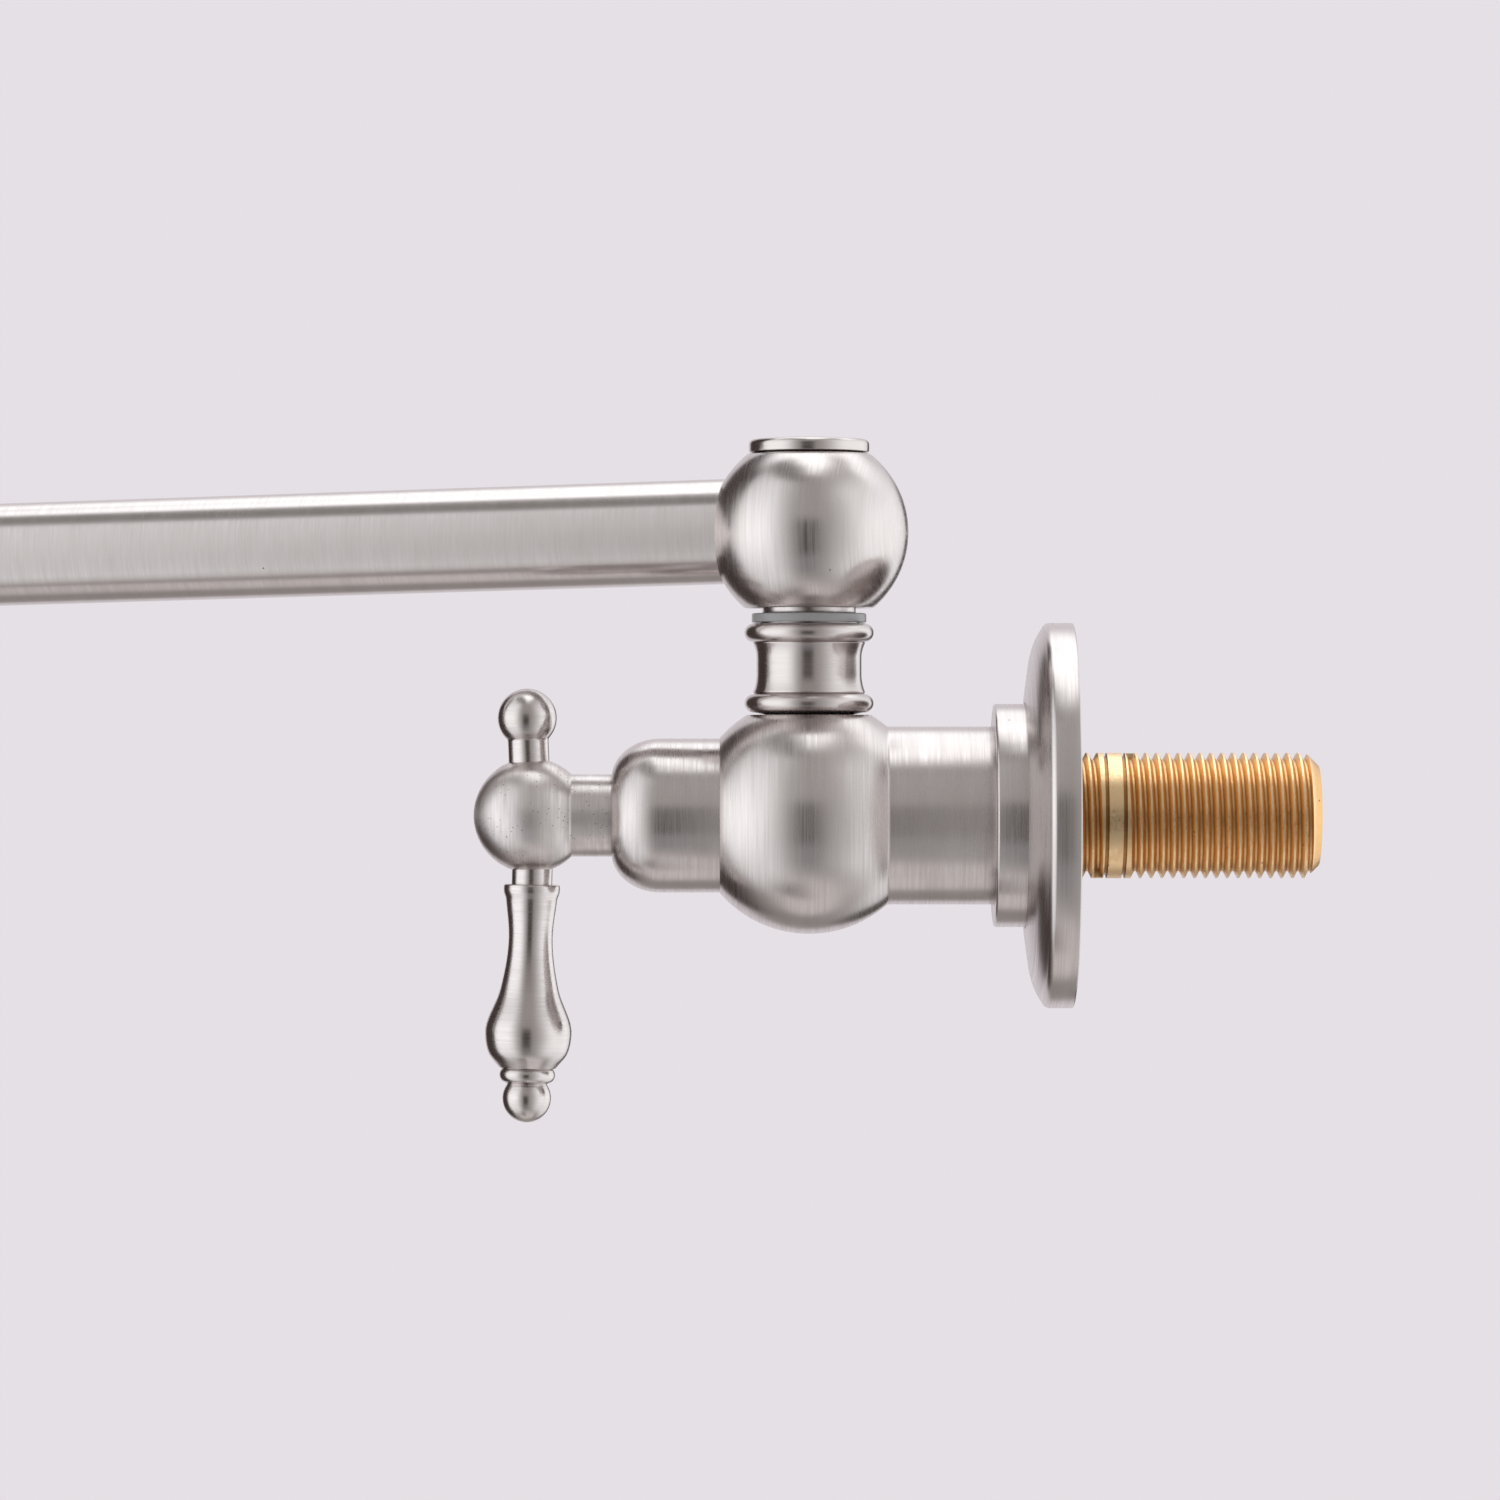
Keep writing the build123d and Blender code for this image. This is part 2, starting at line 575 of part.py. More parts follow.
def make_neck():
    """Beaded neck and, in one piece with it, the threaded foot below and the post above
    that the swivel ball turns on."""
    washer_seat = BOSS_END - FACE_GAP - WASHER_THICK
    body = spool(SPOOL_BASE)
    body += rod(POST_R, POST_FOOT, POST_TOP)
    body += rod(SPOOL_TOP_R, SPOOL_BASE + SPOOL_HEIGHT - OUTSIDE, washer_seat)
    body -= rod(PORT_R, POST_FOOT, POST_BORE_TOP)
    body -= rod(SCREW_R + FIT, SCREW_HOLE_END, POST_TOP)
    for turn in (45, 135):
        body -= Rot(Z=turn) * Rot(Y=90) * rod(POST_WINDOW_R, -POST_R - OUTSIDE, POST_R + OUTSIDE)
    for ring, width in zip(POST_RINGS, POST_RING_WIDTHS):
        body -= groove(POST_RING_R, POST_R + OUTSIDE, ring, width)
    return body


def make_thrust_washer():
    top = BOSS_END - FACE_GAP
    return pipe(WASHER_R, POST_R + WASHER_GAP, top - WASHER_THICK, top)


def make_post_o_rings():
    outer = POST_R + RUNNING_GAP - SEAL_GAP
    return [o_ring(POST_RING_R, outer, ring) for ring in POST_RINGS]


def make_retaining_washer():
    return pipe(RETAINER_R, RETAINER_BORE_R, POST_TOP, POST_TOP + RETAINER_THICK)


def make_retaining_screw():
    head = POST_TOP + RETAINER_THICK
    body = rod(SCREW_HEAD_R, head, head + SCREW_HEAD) + rod(SCREW_R, SCREW_END, head)
    body = chamfer(body.edges().filter_by(GeomType.CIRCLE).sort_by(Axis.Z)[-1], SCREW_HEAD_EDGE)
    return body - hexagon(SCREW_HEX, head + SCREW_HEAD_EDGE, head + SCREW_HEAD + OUTSIDE)


def make_arm_tube(length, far_end):
    slant_length = length / math.cos(math.radians(ARM_SLOPE))
    return ARM_AXIS * pipe(ARM_R, ARM_BORE_R, ARM_START, slant_length - far_end)


def make_lower_ball():
    """Lower ball of the elbow, seen from its own centre."""
    top = LOWER_BALL_DROP + SPOOL_BASE
    socket_floor = LOWER_BALL_DROP + POST_FOOT - LOWER_SOCKET_GAP
    body = Sphere(SWIVEL_R) & rod(SWIVEL_R, -SWIVEL_R, top)
    body -= rod(POST_R + FIT, socket_floor, top)
    body -= Sphere(LOWER_CAVITY_R) & rod(SWIVEL_R, -SWIVEL_R, LOWER_CAVITY_TOP)
    body -= rod(INLET_R, 0, socket_floor)
    return body - ARM_AXIS * rod(ARM_R + FIT, ARM_START, SWIVEL_R + OUTSIDE)


# --- spout, made along z, which is turned down from the outlet valve --------------------------
def make_spout_neck():
    foot = SWIVEL_RISE + POST_FOOT
    body = spool(NECK_SEAT) + rod(POST_R, foot, NECK_SEAT)
    body += rod(SPOUT_BORE_R, SPOUT_TOP, SPOUT_TOP + SPIGOT)
    return body - rod(PORT_R, foot, SPOUT_TOP + SPIGOT)


def make_spout_tube():
    body = turned(
        (0, SPOUT_TOP),
        (ARM_R, SPOUT_TOP),
        (ARM_R, SPOUT_END - BELL),
        (BELL_R, SPOUT_END - BELL_RIM, BELL_FLARE),
        (BELL_R, SPOUT_END),
        (0, SPOUT_END),
    )
    body -= rod(SPOUT_BORE_R + FIT, SPOUT_TOP, SPOUT_TOP + SPIGOT + SOCKET_GAP)
    body -= rod(SPOUT_WATERWAY_R, SPOUT_TOP, SPOUT_END)
    return body - rod(AERATOR_THREAD_R, SPOUT_END - BELL, SPOUT_END)


def make_aerator_housing():
    mouth_floor = AERATOR_END - AERATOR_MOUTH
    body = turned(
        (0, SPOUT_END),
        (AERATOR_NECK_R, SPOUT_END),
        (AERATOR_NECK_R, SPOUT_END + AERATOR_NECK),
        (BELL_R, SPOUT_END + 2 * AERATOR_NECK),
        (BELL_R, AERATOR_END - AERATOR_LIP),
        (AERATOR_LIP_R, AERATOR_END, AERATOR_LIP_BULGE),
        (0, AERATOR_END),
    )
    body += rod(AERATOR_THREAD_R - FIT, SPOUT_END - AERATOR_THREAD, SPOUT_END)
    body -= rod(AERATOR_MOUTH_R, mouth_floor, AERATOR_END)
    return body - rod(AERATOR_BORE_R, SPOUT_END - AERATOR_THREAD, mouth_floor)


def make_aerator_insert():
    top = SPOUT_END - INSERT_TOP
    bottom = AERATOR_END - AERATOR_MOUTH - SOCKET_GAP
    row_step = JET_STEP * math.sqrt(3) / 2
    rows = int(AERATOR_BORE_R / row_step)
    body = rod(AERATOR_BORE_R - FIT, top, bottom)
    for row in range(-rows, rows + 1):
        for column in range(-2 * rows, 2 * rows + 1):
            x = JET_STEP * (column + row / 2)
            y = row_step * row
            if math.hypot(x, y) < AERATOR_BORE_R - JET_MARGIN:
                body -= Pos(x, y, 0) * rod(JET_R, top, bottom)
    return body


def make_aerator_washer():
    bottom = SPOUT_END - AERATOR_THREAD
    return pipe(AERATOR_THREAD_R - SOCKET_GAP, INLET_R, bottom - AERATOR_WASHER, bottom)


# --- where each assembly stands -----------------------------------------------------------------
swing = math.radians(ARM_SWING)
outward = Vector(-math.sin(swing), -math.cos(swing), 0)
sideways = Vector(math.cos(swing), -math.sin(swing), 0)
fall = math.tan(math.radians(ARM_SLOPE))

shoulder_at = Vector(0, SWIVEL_Y, SWIVEL_RISE)
elbow_at = shoulder_at + outward * INNER_ARM - Vector(0, 0, INNER_ARM * fall)
lower_ball_at = elbow_at - Vector(0, 0, LOWER_BALL_DROP)
outlet_at = lower_ball_at + outward * OUTER_ARM - Vector(0, 0, OUTER_ARM * fall)

wall_end = Plane(origin=(0, 0, 0), x_dir=(1, 0, 0), z_dir=(0, 1, 0))
wall_valve = Plane(origin=(0, SWIVEL_Y, 0), x_dir=(1, 0, 0), z_dir=(0, -1, 0))
shoulder = Plane(origin=shoulder_at, x_dir=outward, z_dir=(0, 0, 1))
elbow = Plane(origin=elbow_at, x_dir=outward, z_dir=(0, 0, 1))
lower_ball = Plane(origin=lower_ball_at, x_dir=outward, z_dir=(0, 0, 1))
outlet_valve = Plane(origin=outlet_at, x_dir=sideways, z_dir=outward)
spout = outlet_valve * DOWN


def write(name, place, shape):
    """Writes one piece, or a list of like pieces, as a node."""
    pieces = shape if isinstance(shape, list) else [shape]
    solids = [solid for piece in pieces for solid in (place * piece).solids()]
    node = solids[0] if len(solids) == 1 else Compound(children=solids)
    node.label = name
    export_step(node, f"parts/{name}.step")


def write_valve(prefix, place):
    """The cartridge, bonnet and handle that both valves share."""
    write(f"{prefix}_bonnet", place, make_bonnet())
    write(f"{prefix}_cartridge_body", place, make_cartridge_body())
    write(f"{prefix}_cartridge_o_ring", place, make_cartridge_o_ring())
    write(f"{prefix}_fixed_disc", place, make_fixed_disc())
    write(f"{prefix}_seat_seal", place, make_seat_seal())
    write(f"{prefix}_moving_disc", place, make_moving_disc())
    write(f"{prefix}_spindle", place, make_spindle())
    write(f"{prefix}_spindle_o_rings", place, make_spindle_o_rings())
    write(f"{prefix}_spindle_clip", place, make_spindle_clip())
    write(f"{prefix}_handle_hub", place, make_hub())
    write(f"{prefix}_handle_finial", place, make_finial())
    write(f"{prefix}_handle_lever", place, make_lever())


def write_swivel(prefix, place, tube_direction):
    """The neck, washer, seals, retaining parts, ball and cap that both swivels share."""
    write(f"{prefix}_neck", place, make_neck())
    write(f"{prefix}_thrust_washer", place, make_thrust_washer())
    write(f"{prefix}_post_o_rings", place, make_post_o_rings())
    write(f"{prefix}_retaining_washer", place, make_retaining_washer())
    write(f"{prefix}_retaining_screw", place, make_retaining_screw())
    write(f"{prefix}_ball", place, swivel_ball(tube_direction))
    write(f"{prefix}_cap", place, make_cap())


os.makedirs("parts", exist_ok=True)

write("inlet_nipple", wall_end, make_nipple())
write("wall_flange", wall_end, make_flange())
write("wall_gasket", wall_end, make_gasket())
write("flange_collar", wall_end, make_collar())
write("collar_o_ring", wall_end, make_collar_o_ring())
write("wall_valve_body", wall_valve, make_wall_valve_body())
write_valve("wall", wall_valve)
write_swivel("shoulder", shoulder, 1)
write("inner_arm_tube", shoulder, make_arm_tube(INNER_ARM, ARM_START))
write_swivel("elbow", elbow, -1)
write("elbow_lower_ball", lower_ball, make_lower_ball())
write("outer_arm_tube", lower_ball, make_arm_tube(OUTER_ARM, VALVE_SOCKET))
write("outlet_valve_body", outlet_valve, make_outlet_valve_body())
write_valve("outlet", outlet_valve)
write("spout_neck", spout, make_spout_neck())
write("spout_tube", spout, make_spout_tube())
write("aerator_housing", spout, make_aerator_housing())
write("aerator_insert", spout, make_aerator_insert())
write("aerator_washer", spout, make_aerator_washer())

for label, place in (("elbow", elbow_at), ("lower ball", lower_ball_at), ("outlet", outlet_at)):
    print(label, "axis at", round(place.X, 3), round(place.Y, 3), round(place.Z, 3))
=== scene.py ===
"""Looks of the wall mounted pot filler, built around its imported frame.

The frame's origin is where the inlet nipple crosses the wall plane, -Y points out of the wall
and +Z up. Every nickel piece and thrust washer is turned about its own axis from an outline in
millimetres, radius first, and is then stood in its place, in metres. The inlet nipple and the
inner pieces keep the frame's own meshes and get their finish here.
"""

from __future__ import annotations

import json
import logging
import math
from dataclasses import dataclass
from enum import Enum

import bmesh
import bpy
from mathutils import Matrix, Vector
from mathutils.geometry import interpolate_bezier

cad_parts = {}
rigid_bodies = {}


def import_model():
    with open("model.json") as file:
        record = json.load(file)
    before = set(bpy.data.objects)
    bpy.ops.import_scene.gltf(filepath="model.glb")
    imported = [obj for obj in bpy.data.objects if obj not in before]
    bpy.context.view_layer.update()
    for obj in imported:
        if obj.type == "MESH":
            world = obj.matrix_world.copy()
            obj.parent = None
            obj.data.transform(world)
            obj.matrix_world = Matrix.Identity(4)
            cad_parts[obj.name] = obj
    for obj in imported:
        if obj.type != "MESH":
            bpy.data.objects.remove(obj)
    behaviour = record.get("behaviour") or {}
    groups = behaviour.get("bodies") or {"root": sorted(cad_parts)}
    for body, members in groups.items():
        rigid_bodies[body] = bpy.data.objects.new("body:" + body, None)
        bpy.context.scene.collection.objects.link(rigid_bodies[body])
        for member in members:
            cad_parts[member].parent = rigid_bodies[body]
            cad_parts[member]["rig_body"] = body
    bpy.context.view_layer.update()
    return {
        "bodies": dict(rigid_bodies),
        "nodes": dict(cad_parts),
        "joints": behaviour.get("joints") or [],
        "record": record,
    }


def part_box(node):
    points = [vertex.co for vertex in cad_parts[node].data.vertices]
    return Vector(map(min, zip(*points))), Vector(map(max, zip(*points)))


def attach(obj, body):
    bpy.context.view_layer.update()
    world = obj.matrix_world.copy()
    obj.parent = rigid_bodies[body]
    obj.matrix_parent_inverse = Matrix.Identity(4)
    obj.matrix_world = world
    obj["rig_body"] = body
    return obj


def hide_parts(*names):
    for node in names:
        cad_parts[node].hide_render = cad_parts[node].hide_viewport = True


LOG = logging.getLogger("pot_filler")

Mesh = bmesh.types.BMesh
Output = bpy.types.NodeSocket
Tree = bpy.types.NodeTree

MM = 0.001
TURN_STEPS = 128  # flats round a turned piece
SMALL_TURN_STEPS = 96  # flats round the finial and the lever
ARC_STEP = math.radians(3.5)  # turn from flat to flat along an arc of an outline
FEWEST_FLATS = 3  # along a short arc
EDGE_STEPS = 3  # flats across a softened edge
FLOW_STEPS = 10  # flats along each span of a flowing curve
WELD = 1e-4  # millimetres, for poles and seams
SHARP_ANGLE = math.radians(38.0)
CRISP, FINE, EASED, SOFT, ROUND = 0.1, 0.15, 0.2, 0.25, 0.3  # millimetres that soften an edge
THREAD_GAP = 0.02  # millimetres round what is screwed or pushed in
ARM_LIFT = 0.55  # millimetres that the tubes lie above the centres of the balls
TUBE_SEAT = 9.5  # millimetres from the centre of a ball to the end of the tube in it
RINGS = "turning_rings"  # UV map: turns about the axis, millimetres along the outline


class Slot(Enum):
    """Material slots of the record."""

    NICKEL = "brushed_nickel"
    BRASS = "raw_brass"
    NYLON = "grey_nylon"
    RUBBER = "black_rubber"
    STAINLESS = "stainless_steel"
    CERAMIC = "ceramic"
    ACETAL = "white_acetal"


class TubeSide(Enum):
    """Whether an arm tube leaves a ball, seen along the arm, or arrives at it."""

    LEAVES = 1
    ARRIVES = -1


# --- small tools ----------------------------------------------------------------------------
def linear(hex_colour: str) -> tuple[float, float, float, float]:
    """Turns an sRGB hex colour into linear light.

    Args:
        hex_colour: six hex digits, such as "C8BFB8".

    Returns:
        Red, green, blue and an alpha of 1.
    """
    shares = [int(hex_colour[i : i + 2], 16) / 255 for i in (0, 2, 4)]
    light = [s / 12.92 if s <= 0.04045 else ((s + 0.055) / 1.055) ** 2.4 for s in shares]
    return light[0], light[1], light[2], 1.0


def add_node(tree: Tree, kind: str, inputs: dict | None = None, **settings: str) -> bpy.types.Node:
    """Adds one shader node with its settings and links.

    Args:
        tree: the node tree that it goes into.
        kind: the node's type, such as "ShaderNodeMath".
        inputs: a value or an output socket for each input, by name or number.
        **settings: the node's own properties, such as operation="MULTIPLY".

    Returns:
        The new node.
    """
    node = tree.nodes.new(kind)
    for name, value in settings.items():
        setattr(node, name, value)
    for socket, value in (inputs or {}).items():
        if isinstance(value, Output):
            tree.links.new(value, node.inputs[socket])
        else:
            node.inputs[socket].default_value = value
    return node


def bare_tree(owner: bpy.types.Material | bpy.types.World) -> Tree:
    """Gives a material or a world an empty node tree.

    Args:
        owner: the material or the world.

    Returns:
        Its node tree.
    """
    owner.use_nodes = True
    owner.node_tree.nodes.clear()
    return owner.node_tree


def into_scene(name: str, data: bpy.types.ID) -> bpy.types.Object:
    """Puts a mesh or a camera into the scene.

    Args:
        name: the object's name.
        data: what it shows.

    Returns:
        The new object.
    """
    thing = bpy.data.objects.new(name, data)
    bpy.context.scene.collection.objects.link(thing)
    return thing


def mesh_data(name: str, mesh: Mesh) -> bpy.types.Mesh:
    """Turns a bmesh into mesh data and uses it up.

    Args:
        name: the data's name.
        mesh: the bmesh.

    Returns:
        The data.
    """
    data = bpy.data.meshes.new(name)
    mesh.to_mesh(data)
    mesh.free()
    return data


def stand(origin: Vector, forward: Vector, side: Vector) -> Matrix:
    """Matrix that stands a piece, drawn in millimetres, with its z axis forward and x to the side."""
    turned = Matrix((side, forward.cross(side), forward)).transposed().to_4x4()
    return Matrix.Translation(origin) @ turned @ Matrix.Scale(MM, 4)


def arm_axis(slope: float, side: TubeSide) -> Matrix:
    """Matrix that lays a piece's height along the tube of an arm that falls by slope along x."""
    lift = Matrix.Translation((0.0, 0.0, ARM_LIFT))
    return lift @ Matrix.Rotation(math.pi / 2 * side.value + slope, 4, "Y")


def height_on_ball(ball_radius: float, radius: float) -> float:
    """Height above its centre at which a ball is as wide as radius."""
    return math.sqrt(ball_radius**2 - radius**2)


def soften(mesh: Mesh, parts: list, edge: float, affect: str) -> None:
    """Rounds corners or edges.

    Args:
        mesh: the mesh that they are in.
        parts: the corners or the edges.
        edge: the radius that they get.
        affect: "VERTICES" for corners or "EDGES".
    """
    bmesh.ops.bevel(
        mesh,
        geom=parts,
        offset=edge,
        offset_type="OFFSET",
        segments=EDGE_STEPS,
        profile=0.5,
        affect=affect,
        clamp_overlap=True,
        material=-1,
    )


class Outline:
    """Half section of a turned piece, drawn with a pen as radius and height.

    Each call draws one run from where the pen stands and leaves the pen at its end. An edge
    is the radius that softens the corner there.
    """

    def __init__(self, radius: float, height: float) -> None:
        """Sets the pen down.

        Args:
            radius: where it starts.
            height: where it starts.
        """
        self.mesh = bmesh.new()
        self.distance = self.mesh.verts.layers.float.new("along")
        self.rings = self.mesh.loops.layers.uv.new(RINGS)
        self.first = self.mesh.verts.new((radius, 0.0, height))
        self.pen = self.first
        self.corners: list[tuple[bmesh.types.BMVert, float]] = []
        self.closed = False
        self.length = 0.0

    def _end_run(self, edge: float) -> Outline:
        """Remembers how much the corner under the pen gets softened.

        Args:
            edge: its radius, or 0 to leave it sharp.

        Returns:
            The outline itself.
        """
        if edge > 0:
            self.corners.append((self.pen, edge))
        return self

    def _swing(self, centre: Vector, angle: float) -> list[bmesh.types.BMVert]:
        """Swings the pen about a centre, z towards x.

        Args:
            centre: the centre.
            angle: how far it swings, in radians.

        Returns:
            The new corners.
        """
        known = set(self.mesh.verts)
        steps = max(FEWEST_FLATS, math.ceil(abs(angle) / ARC_STEP))
        swung = bmesh.ops.spin(
            self.mesh,
            geom=[self.pen],
            cent=centre,
            axis=(0, 1, 0),
            angle=angle,
            steps=steps,
            use_duplicate=False,
        )
        self.pen = next(part for part in swung["geom_last"] if isinstance(part, bmesh.types.BMVert))
        return [vert for vert in self.mesh.verts if vert not in known]

    def line(self, radius: float, height: float, edge: float = 0.0) -> Outline:
        """Draws a straight run.

        Args:
            radius: where it ends.
            height: where it ends.
            edge: radius that softens the corner at its end.

        Returns:
            The outline itself.
        """
        self.pen = bmesh.ops.extrude_vert_indiv(self.mesh, verts=[self.pen])["verts"][0]
        self.pen.co = (radius, 0.0, height)
        return self._end_run(edge)

    def along(self, height: float, edge: float = 0.0) -> Outline:
        """Draws a straight run along the axis, to a height."""
        return self.line(self.pen.co.x, height, edge)

    def across(self, radius: float, edge: float = 0.0) -> Outline:
        """Draws a straight run square to the axis, to a radius."""
        return self.line(radius, self.pen.co.z, edge)

    def arc(self, radius: float, height: float, bulge: float, edge: float = 0.0) -> Outline:
        """Draws an arc.

        Args:
            radius: where it ends.
            height: where it ends.
            bulge: how far its middle stands off the chord, to the right of the pen's way.
            edge: radius that softens the corner at its end.

        Returns:
            The outline itself.
        """
        chord = Vector((radius, 0.0, height)) - self.pen.co
        half = chord.length / 2
        right = Vector((chord.z, 0.0, -chord.x)).normalized()
        circle = (half**2 + bulge**2) / (2 * bulge)
        centre = self.pen.co + chord / 2 + right * (bulge - circle)
        self._swing(centre, -4 * math.atan(bulge / half))
        return self._end_run(edge)

    def ball(self, centre: float, radius: float, height: float, edge: float = 0.0) -> Outline:
        """Draws an arc about a centre on the axis.

        Args:
            centre: height of the centre.
            radius: where it ends, on the same ball as the pen.
            height: where it ends.
            edge: radius that softens the corner at its end.

        Returns:
            The outline itself.
        """
        middle = Vector((0.0, 0.0, centre))
        start = self.pen.co - middle
        self._swing(middle, math.atan2(radius, height - centre) - math.atan2(start.x, start.z))
        return self._end_run(edge)

    def oval(self, centre: tuple[float, float], stretch: float, angle: float, edge: float = 0.0) -> Outline:
        """Draws part of an ellipse, from its widest point towards its top.

        Args:
            centre: radius and height of its centre.
            stretch: its height against its width.
            angle: how far round it goes, in radians.
            edge: radius that softens the corner at its end.

        Returns:
            The outline itself.
        """
        middle = Vector((centre[0], 0.0, centre[1]))
        swung = self._swing(middle, -angle)
        bmesh.ops.scale(self.mesh, vec=(1, 1, stretch), space=Matrix.Translation(-middle), verts=swung)
        return self._end_run(edge)

    def flow(self, points: tuple[tuple[float, float], ...], edge: float = 0.0) -> Outline:
        """Draws one smooth curve through points.

        Args:
            points: radius and height of each, of which the pen stands on the first.
            edge: radius that softens the corner at its end.

        Returns:
            The outline itself.
        """
        knots = [Vector((radius, 0.0, height)) for radius, height in points]
        spans = [(b - a).length for a, b in zip(knots, knots[1:])]
        slopes = [(b - a) / span for a, b, span in zip(knots, knots[1:], spans)]
        middles = [
            (slopes[i] * spans[i + 1] + slopes[i + 1] * spans[i]) / (spans[i] + spans[i + 1])
            for i in range(len(spans) - 1)
        ]
        tangents = [slopes[0], *middles, slopes[-1]]
        for i, span in enumerate(spans):
            leave = knots[i] + tangents[i] * span / 3
            arrive = knots[i + 1] - tangents[i + 1] * span / 3
            for point in interpolate_bezier(knots[i], leave, arrive, knots[i + 1], FLOW_STEPS)[1:]:
                self.line(point.x, point.z)
        return self._end_run(edge)

    def close(self) -> Outline:
        """Draws the last run, back to the first corner.

        Returns:
            The outline itself.
        """
        bmesh.ops.contextual_create(self.mesh, geom=[self.pen, self.first])
        self.closed = True
        return self

    def _measure(self) -> None:
        """Writes on each corner how far along the outline it lies."""
        ends = [vert for vert in self.mesh.verts if len(vert.link_edges) == 1]
        start = ends[0] if ends else next(iter(self.mesh.verts))
        walked = {start}
        here = start
        while True:
            onward = [e.other_vert(here) for e in here.link_edges if e.other_vert(here) not in walked]
            if not onward:
                break
            following = onward[0]
            self.length += (following.co - here.co).length
            following[self.distance] = self.length
            walked.add(following)
            here = following
        if self.closed:
            self.length += (here.co - start.co).length

    def _lay_rings(self) -> None:
        """Lays the UV map: turns round the axis, and millimetres along the outline."""
        for face in self.mesh.faces:
            middle = face.calc_center_median()
            middle_turn = math.atan2(middle.y, middle.x) / math.tau
            longest = max(loop.vert[self.distance] for loop in face.loops)
            for loop in face.loops:
                x, y, _ = loop.vert.co
                turn = math.atan2(y, x) / math.tau if math.hypot(x, y) > WELD else middle_turn
                turn += round(middle_turn - turn)
                distance = loop.vert[self.distance]
                if self.closed and longest - distance > self.length / 2:
                    distance += self.length
                loop[self.rings].uv = (turn, distance)

    def turn(self, steps: int = TURN_STEPS) -> Mesh:
        """Turns the outline about the axis into a closed piece.

        Args:
            steps: how many flats it gets round the axis.

        Returns:
            The piece's mesh, in millimetres.
        """
        for corner, edge in self.corners:
            soften(self.mesh, [corner], edge, "VERTICES")
        self._measure()
        bmesh.ops.spin(
            self.mesh,
            geom=self.mesh.verts[:] + self.mesh.edges[:],
            cent=(0, 0, 0),
            axis=(0, 0, 1),
            angle=math.tau,
            steps=steps,
            use_merge=True,
            use_duplicate=False,
        )
        bmesh.ops.remove_doubles(self.mesh, verts=self.mesh.verts[:], dist=WELD)
        bmesh.ops.recalc_face_normals(self.mesh, faces=self.mesh.faces[:])
        self._lay_rings()
        return self.mesh


def brush_along_arm(mesh: Mesh) -> Mesh:
    """Lays a ball's rings about the arm's axis, x, which isn't the one that it was turned on.

    Args:
        mesh: the ball, round its own origin.

    Returns:
        The same mesh.
    """
    rings = mesh.loops.layers.uv[RINGS]
    pole = Vector((1.0, 0.0, 0.0))
    across = pole.orthogonal().normalized()
    third = pole.cross(across)
    for face in mesh.faces:
        middle = face.calc_center_median()
        middle_turn = math.atan2(middle.dot(third), middle.dot(across)) / math.tau
        for loop in face.loops:
            place = loop.vert.co
            turn = math.atan2(place.dot(third), place.dot(across)) / math.tau
            turn += round(middle_turn - turn)
            loop[rings].uv = (turn, place.length * place.angle(pole))
    return mesh


def slice_flat(mesh: Mesh, height: float, edge: float) -> Mesh:
    """Cuts off what lies beyond a height along y, closes the cut and softens its rim.

    Args:
        mesh: the mesh to cut, in millimetres.
        height: distance of the cut from the origin; a negative one cuts on the other side.
        edge: radius that softens the rim.

    Returns:
        The same mesh.
    """
    side = math.copysign(1.0, height)
    geometry = mesh.verts[:] + mesh.edges[:] + mesh.faces[:]
    cut = bmesh.ops.bisect_plane(
        mesh, geom=geometry, dist=WELD, plane_co=(0, height, 0), plane_no=(0, side, 0), clear_outer=True
    )
    rim = [part for part in cut["geom_cut"] if isinstance(part, bmesh.types.BMEdge)]
    filled = bmesh.ops.edgenet_fill(mesh, edges=rim)["faces"]
    bmesh.ops.recalc_face_normals(mesh, faces=mesh.faces[:])
    soften(mesh, list({rim_edge for face in filled for rim_edge in face.edges}), edge, "EDGES")
    return mesh


# --- finishes -------------------------------------------------------------------------------
@dataclass(frozen=True)
class Finish:
    """A surface as its maker would name it."""

    name: str
    slot: Slot
    colour: str
    roughness: float
    roughness_spread: tuple[float, float] = (0.08, 0.08)  # how far it falls and rises with the grain
    grain_limits: tuple[float, float] = (0.0, 1.0)  # the grain's noise where it has done so

    def surface(self, tree: Tree, place: Output) -> tuple[Output, dict]:
        """Draws what makes the surface uneven: a grain, and the shader's inputs by name."""
        raise NotImplementedError

    def build(self) -> bpy.types.Material:
        """Makes the material, whose roughness follows the grain.

        Returns:
            The material.
        """
        material = bpy.data.materials.new(self.name)
        tree = bare_tree(material)
        place = add_node(tree, "ShaderNodeTexCoord").outputs["Object"]
        grain, inputs = self.surface(tree, place)
        (low, high), (less, more) = self.grain_limits, self.roughness_spread
        values = {"Value": grain, "From Min": low, "From Max": high}
        values |= {"To Min": self.roughness - less, "To Max": self.roughness + more}
        roughness = add_node(tree, "ShaderNodeMapRange", values).outputs[0]
        inputs = {"Base Color": linear(self.colour), "Roughness": roughness, **inputs}
        shader = add_node(tree, "ShaderNodeBsdfPrincipled", inputs)
        add_node(tree, "ShaderNodeOutputMaterial", {"Surface": shader.outputs["BSDF"]})
        return material


